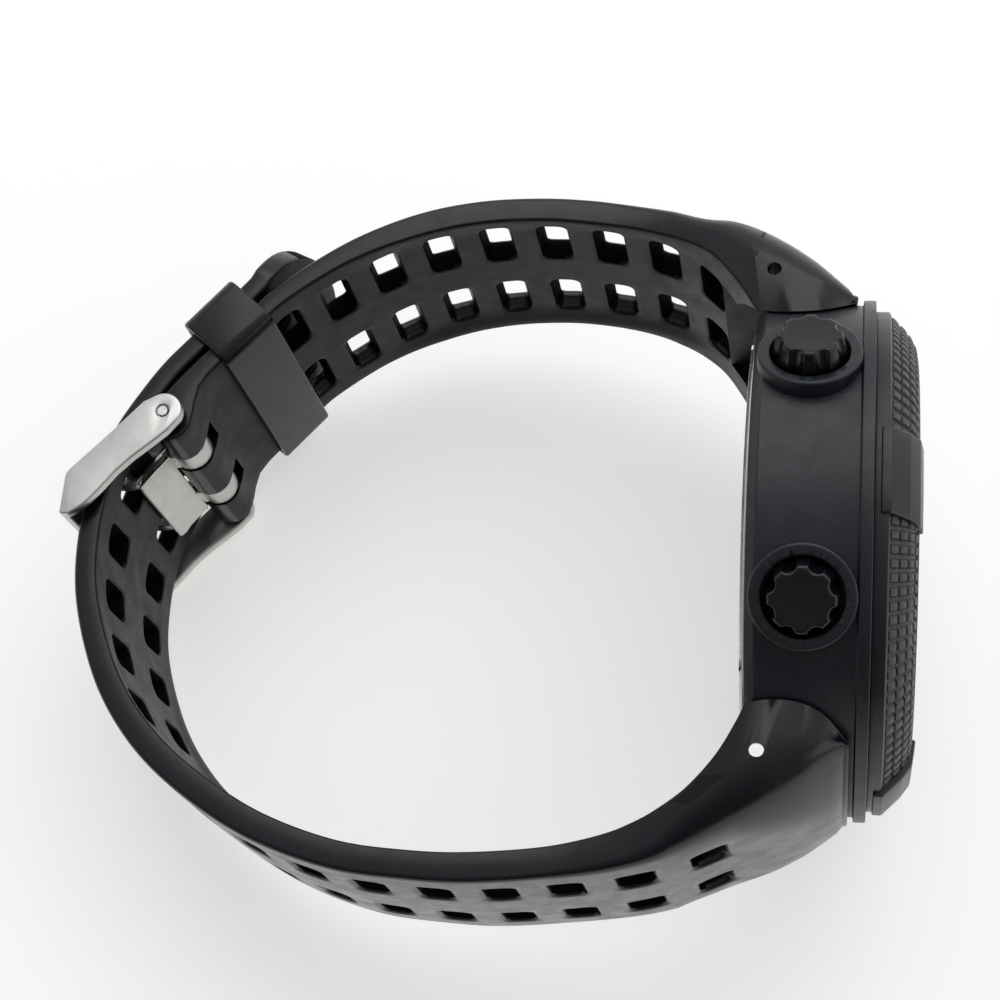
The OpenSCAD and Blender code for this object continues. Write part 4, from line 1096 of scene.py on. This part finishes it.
def coil(turns, radius, wire, z0, z1, sides=12, per_turn=32):
    n = round(turns * per_turn)
    verts = []
    for i in range(n + 1):
        a = 2 * pi * i / per_turn
        z = z0 + wire + i * (z1 - z0 - 2 * wire) / n
        for k in range(sides):
            b = 2 * pi * k / sides
            r = radius + wire * cos(b)
            verts.append((r * cos(a), r * sin(a), z + wire * sin(b)))
    rings = [range(i * sides, (i + 1) * sides) for i in range(n + 1)]
    return verts, bands(rings) + [tuple(rings[0])[::-1], tuple(rings[-1])]


for name in PUSHERS:
    ob = mesh_from("cap_cover_" + name, *moved(lathe(cap_line(), 256, True, scallop), on_pusher(name)))
    finish_piece(ob, "pusher_" + name, CAP, ["cap_" + name], 40)

for name in PUSHERS:
    place = on_pusher(name)
    ob = mesh_from("return_spring_" + name, *moved(coil(4, COIL_R, WIRE_R, SPRING_FOOT, SPRING_TOP), place))
    finish_piece(ob, "case", BRIGHT, ["spring_" + name], 60)
    outward = world_way(Vector(place((0, 0, 1))) - Vector(place((0, 0, 0))))
    world(place((0, 0, SPRING_FOOT)))
    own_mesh(ob)

BAR_SPRING = (-11.65, -6.0)
ob = mesh_from("bar_coil", *moved(coil(7, 0.42, 0.11, *BAR_SPRING, 10, 24), on_bar(BAR)))
finish_piece(ob, "buckle_frame", BRIGHT, ["buckle_bar_spring"], 60)
world((BAR_SPRING[1], *BAR))
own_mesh(ob)


# buckle
def buckle():
    arm = arc(BAR, 1.95, [-24 + 136.4 * k / 20 for k in range(21)])
    arm += soft([(6.9, -69.7), (5.6, -71.1), (4, -72.9), (2.4, -74.4), (0.6, -75.7), (-0.9, -76.9),
                 (-1.7, -77.8), (-2.3, -78.75), (-2.3, -79.65), (2.2, -79.65), (7.2, -75.1), (10.1, -72.6)],
                [0.5, 1.5, 1.5, 1.5, 1.5, 1.5, 1.2, 0.35, 0.3, 1.6, 2.0, 1.0], False, 5)
    hole = arc(BAR, 0.55, [360 * k / 32 for k in range(32)])
    arms = [slab(arm, *sides, 0.22, [hole], 4) for sides in ((-FRAME_OUT, -FRAME_IN), (FRAME_IN, FRAME_OUT))]
    ob = mesh_from("buckle_loop", *arms[0])
    carve(ob, arms[1], "UNION")
    plate = soft([(-2.3, -79.65), (2.2, -79.65), (2.9, -78.95), (2.2, -78.75), (-2.3, -78.75)],
                 [0.3, 0.3, 0.1, 0.2, 0.3], True, 3)
    carve(ob, slab(plate, 0.15 - FRAME_OUT, FRAME_OUT - 0.15, 0.15), "UNION")
    dish = [(0, 0.4), (0.5, 0.4), (0.56, 0.3), (0.68, 0.22), (0.74, 0.1), (0.78, -0.3), (0, -0.3)]
    for s in (-1, 1):
        carve(ob, moved(lathe(dish, 48, False), on_bar(BAR, s * FRAME_OUT, -s)))
    finish_piece(ob, "buckle_frame", SATIN, ["buckle_frame"], 26)


def flared(outline, half, r):
    """Plate swept along x, its ends bent towards the inside of the loop."""
    flat, bend, way = 2.6, 0.62, (-0.61, 0.79)
    outline = outline if area(outline) > 0 else outline[::-1]
    places = [(-half + r * (1 - cos(STEP * k)), r * (1 - sin(STEP * k))) for k in range(5)]
    places += [(-half + r + (2 * half - 2 * r) * k / 28, 0.0) for k in range(1, 28)]
    places += [(-x, d) for x, d in places[4::-1]]
    verts, rings = [], []
    for x, d in places:
        rings.append(range(len(verts), len(verts) + len(outline)))
        lifted = bend * clamp((abs(x) - flat) / (half - flat), 0, 1) ** 2.2
        section = inset(outline, d) if d > 1e-6 else outline
        verts += [(x, y + way[0] * lifted, z + way[1] * lifted) for y, z in section]
    return verts, bands(rings) + [tuple(rings[0])[::-1], tuple(rings[-1])]


def tongue():
    """Two knuckles, two arms and two prongs in one, and the plate between them as a shell of its own."""
    front, back = [(7, -72.15), (5, -73.7)], [(5.612, -74.49), (7.612, -72.94)]
    prong = soft([(5.1, -74.1), (4.45, -74.45), (3.9, -74.8), (3.62, -76.2), (3.65, -78), (3.9, -78.35),
                  (4.35, -78.35), (4.6, -78), (4.6, -76), (4.7, -75), (5.3, -74.4)],
                 [0, 0.5, 0.6, 1, 0.3, 0.2, 0.2, 0.3, 1, 0.5, 0], False)
    arm = [(8.9, -70.6), (7.25, -70.7)] + front + back + [(8.5, -72.2)]
    plate = soft([(7.25, -71.95), front[1], (4.2, -74.1), (3.72, -74.55), (3.66, -74.93), (4.5, -74.82),
                  (5.2, -74.62)] + back, [0.1, 0.5, 0.5, 0.3, 0.12, 0.3, 0.3, 0.3, 0.2])
    parts = []
    for s in (-1, 1):
        x0, x1 = sorted((s * KNUCKLE_IN, s * KNUCKLE_OUT))
        parts.append(slab(arc(BAR, 2.15, range(0, 360, 8)), x0, x1, 0.2))
        parts.append(slab(arm, x0 + 0.02, x1 - 0.02, 0.16))
        parts.append(slab(prong, s * HOLE_X - 0.75, s * HOLE_X + 0.75, 0.28, steps=4))
    ob = mesh_from("tongue_piece", *parts[0])
    for part in parts[1:]:
        carve(ob, part, "UNION")
    bore(ob, BAR, BAR_BORE, 14, 40)
    bm = bmesh.new()
    bm.from_mesh(ob.data)
    wide = mesh_from("wide", *flared(plate, 7.4, 0.3))
    bm.from_mesh(wide.data)
    bm.to_mesh(ob.data)
    bm.free()
    bpy.data.objects.remove(wide)
    finish_piece(ob, "buckle_tongue", SATIN, ["buckle_tongue"], 30)


def keeper():
    """A loop round both straps, drawn across them and laid in the clasp."""
    out_x, out_n, in_x, in_low, in_high = 13.45, 3.55, 12.4, -2.85, 2.7
    out = soft([(-out_x, -out_n), (out_x, -out_n), (out_x, out_n), (-out_x, out_n)], 1.5, True, 7)
    room = soft([(-in_x, in_low), (in_x, in_low), (in_x, in_high), (-in_x, in_high)], 0.5, True, 7)
    loop = moved(slab(out, -3.4, 3.4, 0.3, [room], 4), lambda v: (v[1], *clasp(v[0], v[2])))
    finish_piece(mesh_from("keeper_loop", *loop), "keeper", STRAP, ["keeper"], 35)


buckle()
tongue()
keeper()


# dial: a track of raised minute marks on its ring, which slopes up from its inner edge
RING_R, RING_Z, RING_SLOPE = 15.4, -0.6, 2.8 / 1.8


def dial_mark(angle, r0, r1, width):
    ca, sa = cos(angle), sin(angle)
    low, high = [], []
    for r in (r0, r1):
        z = RING_Z + (r - RING_R) * RING_SLOPE
        for w in (-width / 2, width / 2):
            low.append((r * ca - w * sa, r * sa + w * ca, z - 0.05))
            high.append((r * ca - w * sa, r * sa + w * ca, z + 0.06))
    return low + high, [(0, 2, 3, 1), (4, 5, 7, 6), (0, 1, 5, 4), (2, 6, 7, 3), (0, 4, 6, 2), (1, 3, 7, 5)]


def dial_marks():
    marks = []
    for k in range(60):
        hour = k % 5 == 0
        marks.append(dial_mark(radians(6 * k), 15.75 if hour else 16.25, 16.9, 0.5 if hour else 0.2))
    finish_piece(mesh_from("minute_marks", *join(*marks)), "case", MARKS, (), 20)


dial_marks()

# camera, as drawn: its place, and the ways to its right, up and ahead
EYE = (-195.91661, -69.07003, -1.30974)
RIGHT, UP, AHEAD = (0.15137, 0.08142, 0.98512), (-0.35989, 0.93274, -0.02179), (0.92063, 0.35124, -0.17049)
camera = bpy.data.objects.new("camera", bpy.data.cameras.new("camera"))
camera.data.lens, camera.data.sensor_width = 73.2865, 36
camera.data.clip_start, camera.data.clip_end = 0.01, 20
turn = Matrix((world_way(RIGHT), world_way(UP), -world_way(AHEAD))).transposed().to_4x4()
camera.matrix_world = Matrix.Translation(world(EYE)) @ turn
bpy.context.scene.collection.objects.link(camera)
bpy.context.scene.camera = camera


def floor_look():
    """Light paper, with a glow that only camera, glossy and transmitted rays see."""
    m, tree, shader = material("floor", (0.66, 0.655, 0.645), 0.9, specular=0.1)
    colour_by(tree, shader, noise(tree, 3, 2), (0.3, (0.655, 0.65, 0.64)), (0.7, (0.665, 0.66, 0.65)))
    rays = node(tree, "ShaderNodeLightPath").outputs
    seen = maths(tree, "MAXIMUM", rays["Is Camera Ray"], rays["Is Transmission Ray"])
    seen = maths(tree, "MAXIMUM", seen, rays["Is Glossy Ray"])
    glow = node(tree, "ShaderNodeEmission", Color=(1, 0.985, 0.96, 1))
    tree.links.new(maths(tree, "MULTIPLY", seen, 0.50), glow.inputs["Strength"])
    both = node(tree, "ShaderNodeAddShader")
    tree.links.new(shader.outputs[0], both.inputs[0])
    tree.links.new(glow.outputs[0], both.inputs[1])
    tree.links.new(both.outputs[0], tree.nodes["Material Output"].inputs["Surface"])
    return m


def sky():
    """Light from all round, stronger from 12 o'clock and from the dial's side."""
    studio = bpy.data.worlds.new("studio")
    studio.use_nodes = True
    bpy.context.scene.world = studio
    tree = studio.node_tree
    way = node(tree, "ShaderNodeSeparateXYZ")
    tree.links.new(node(tree, "ShaderNodeTexCoord").outputs["Generated"], way.inputs[0])
    along = spread(tree, way.outputs["Y"], 0.10, 0.92, -0.95, 0.75)
    across = spread(tree, way.outputs["X"], 0.80, 1.20, -1.0, 1.0)
    background = tree.nodes["Background"]
    background.inputs["Color"].default_value = (0.93, 0.968, 1.0, 1)
    tree.links.new(maths(tree, "MULTIPLY", along, across), background.inputs["Strength"])


def lamp(name, at, aim, width, depth, power, colour):
    data = bpy.data.lights.new(name, "AREA")
    data.shape = "RECTANGLE"
    data.size, data.size_y = width, depth
    data.energy = power
    data.color = colour
    ob = bpy.data.objects.new(name, data)
    bpy.context.scene.collection.objects.link(ob)
    ob.location = at
    ob.rotation_euler = (Vector(aim) - Vector(at)).to_track_quat("-Z", "Y").to_euler()


size = 6.0
corners = [(-size, -size, 0), (size, -size, 0), (size, size, 0), (-size, size, 0)]
floor = mesh_from("floor", corners, [(0, 1, 2, 3)], True)
floor.data.materials.append(floor_look())
sky()
lamp("softbox", (0.05, 0.55, 0.85), (0, 0, 0.02), 1.1, 0.8, 3.6, (1.0, 0.99, 0.97))
lamp("dial_side", (0.80, -0.20, 0.34), (0.06, 0, 0.02), 0.6, 0.35, 0.55, (0.97, 0.98, 1.0))
bpy.context.scene.view_settings.view_transform = "Standard"

bpy.context.view_layer.update()
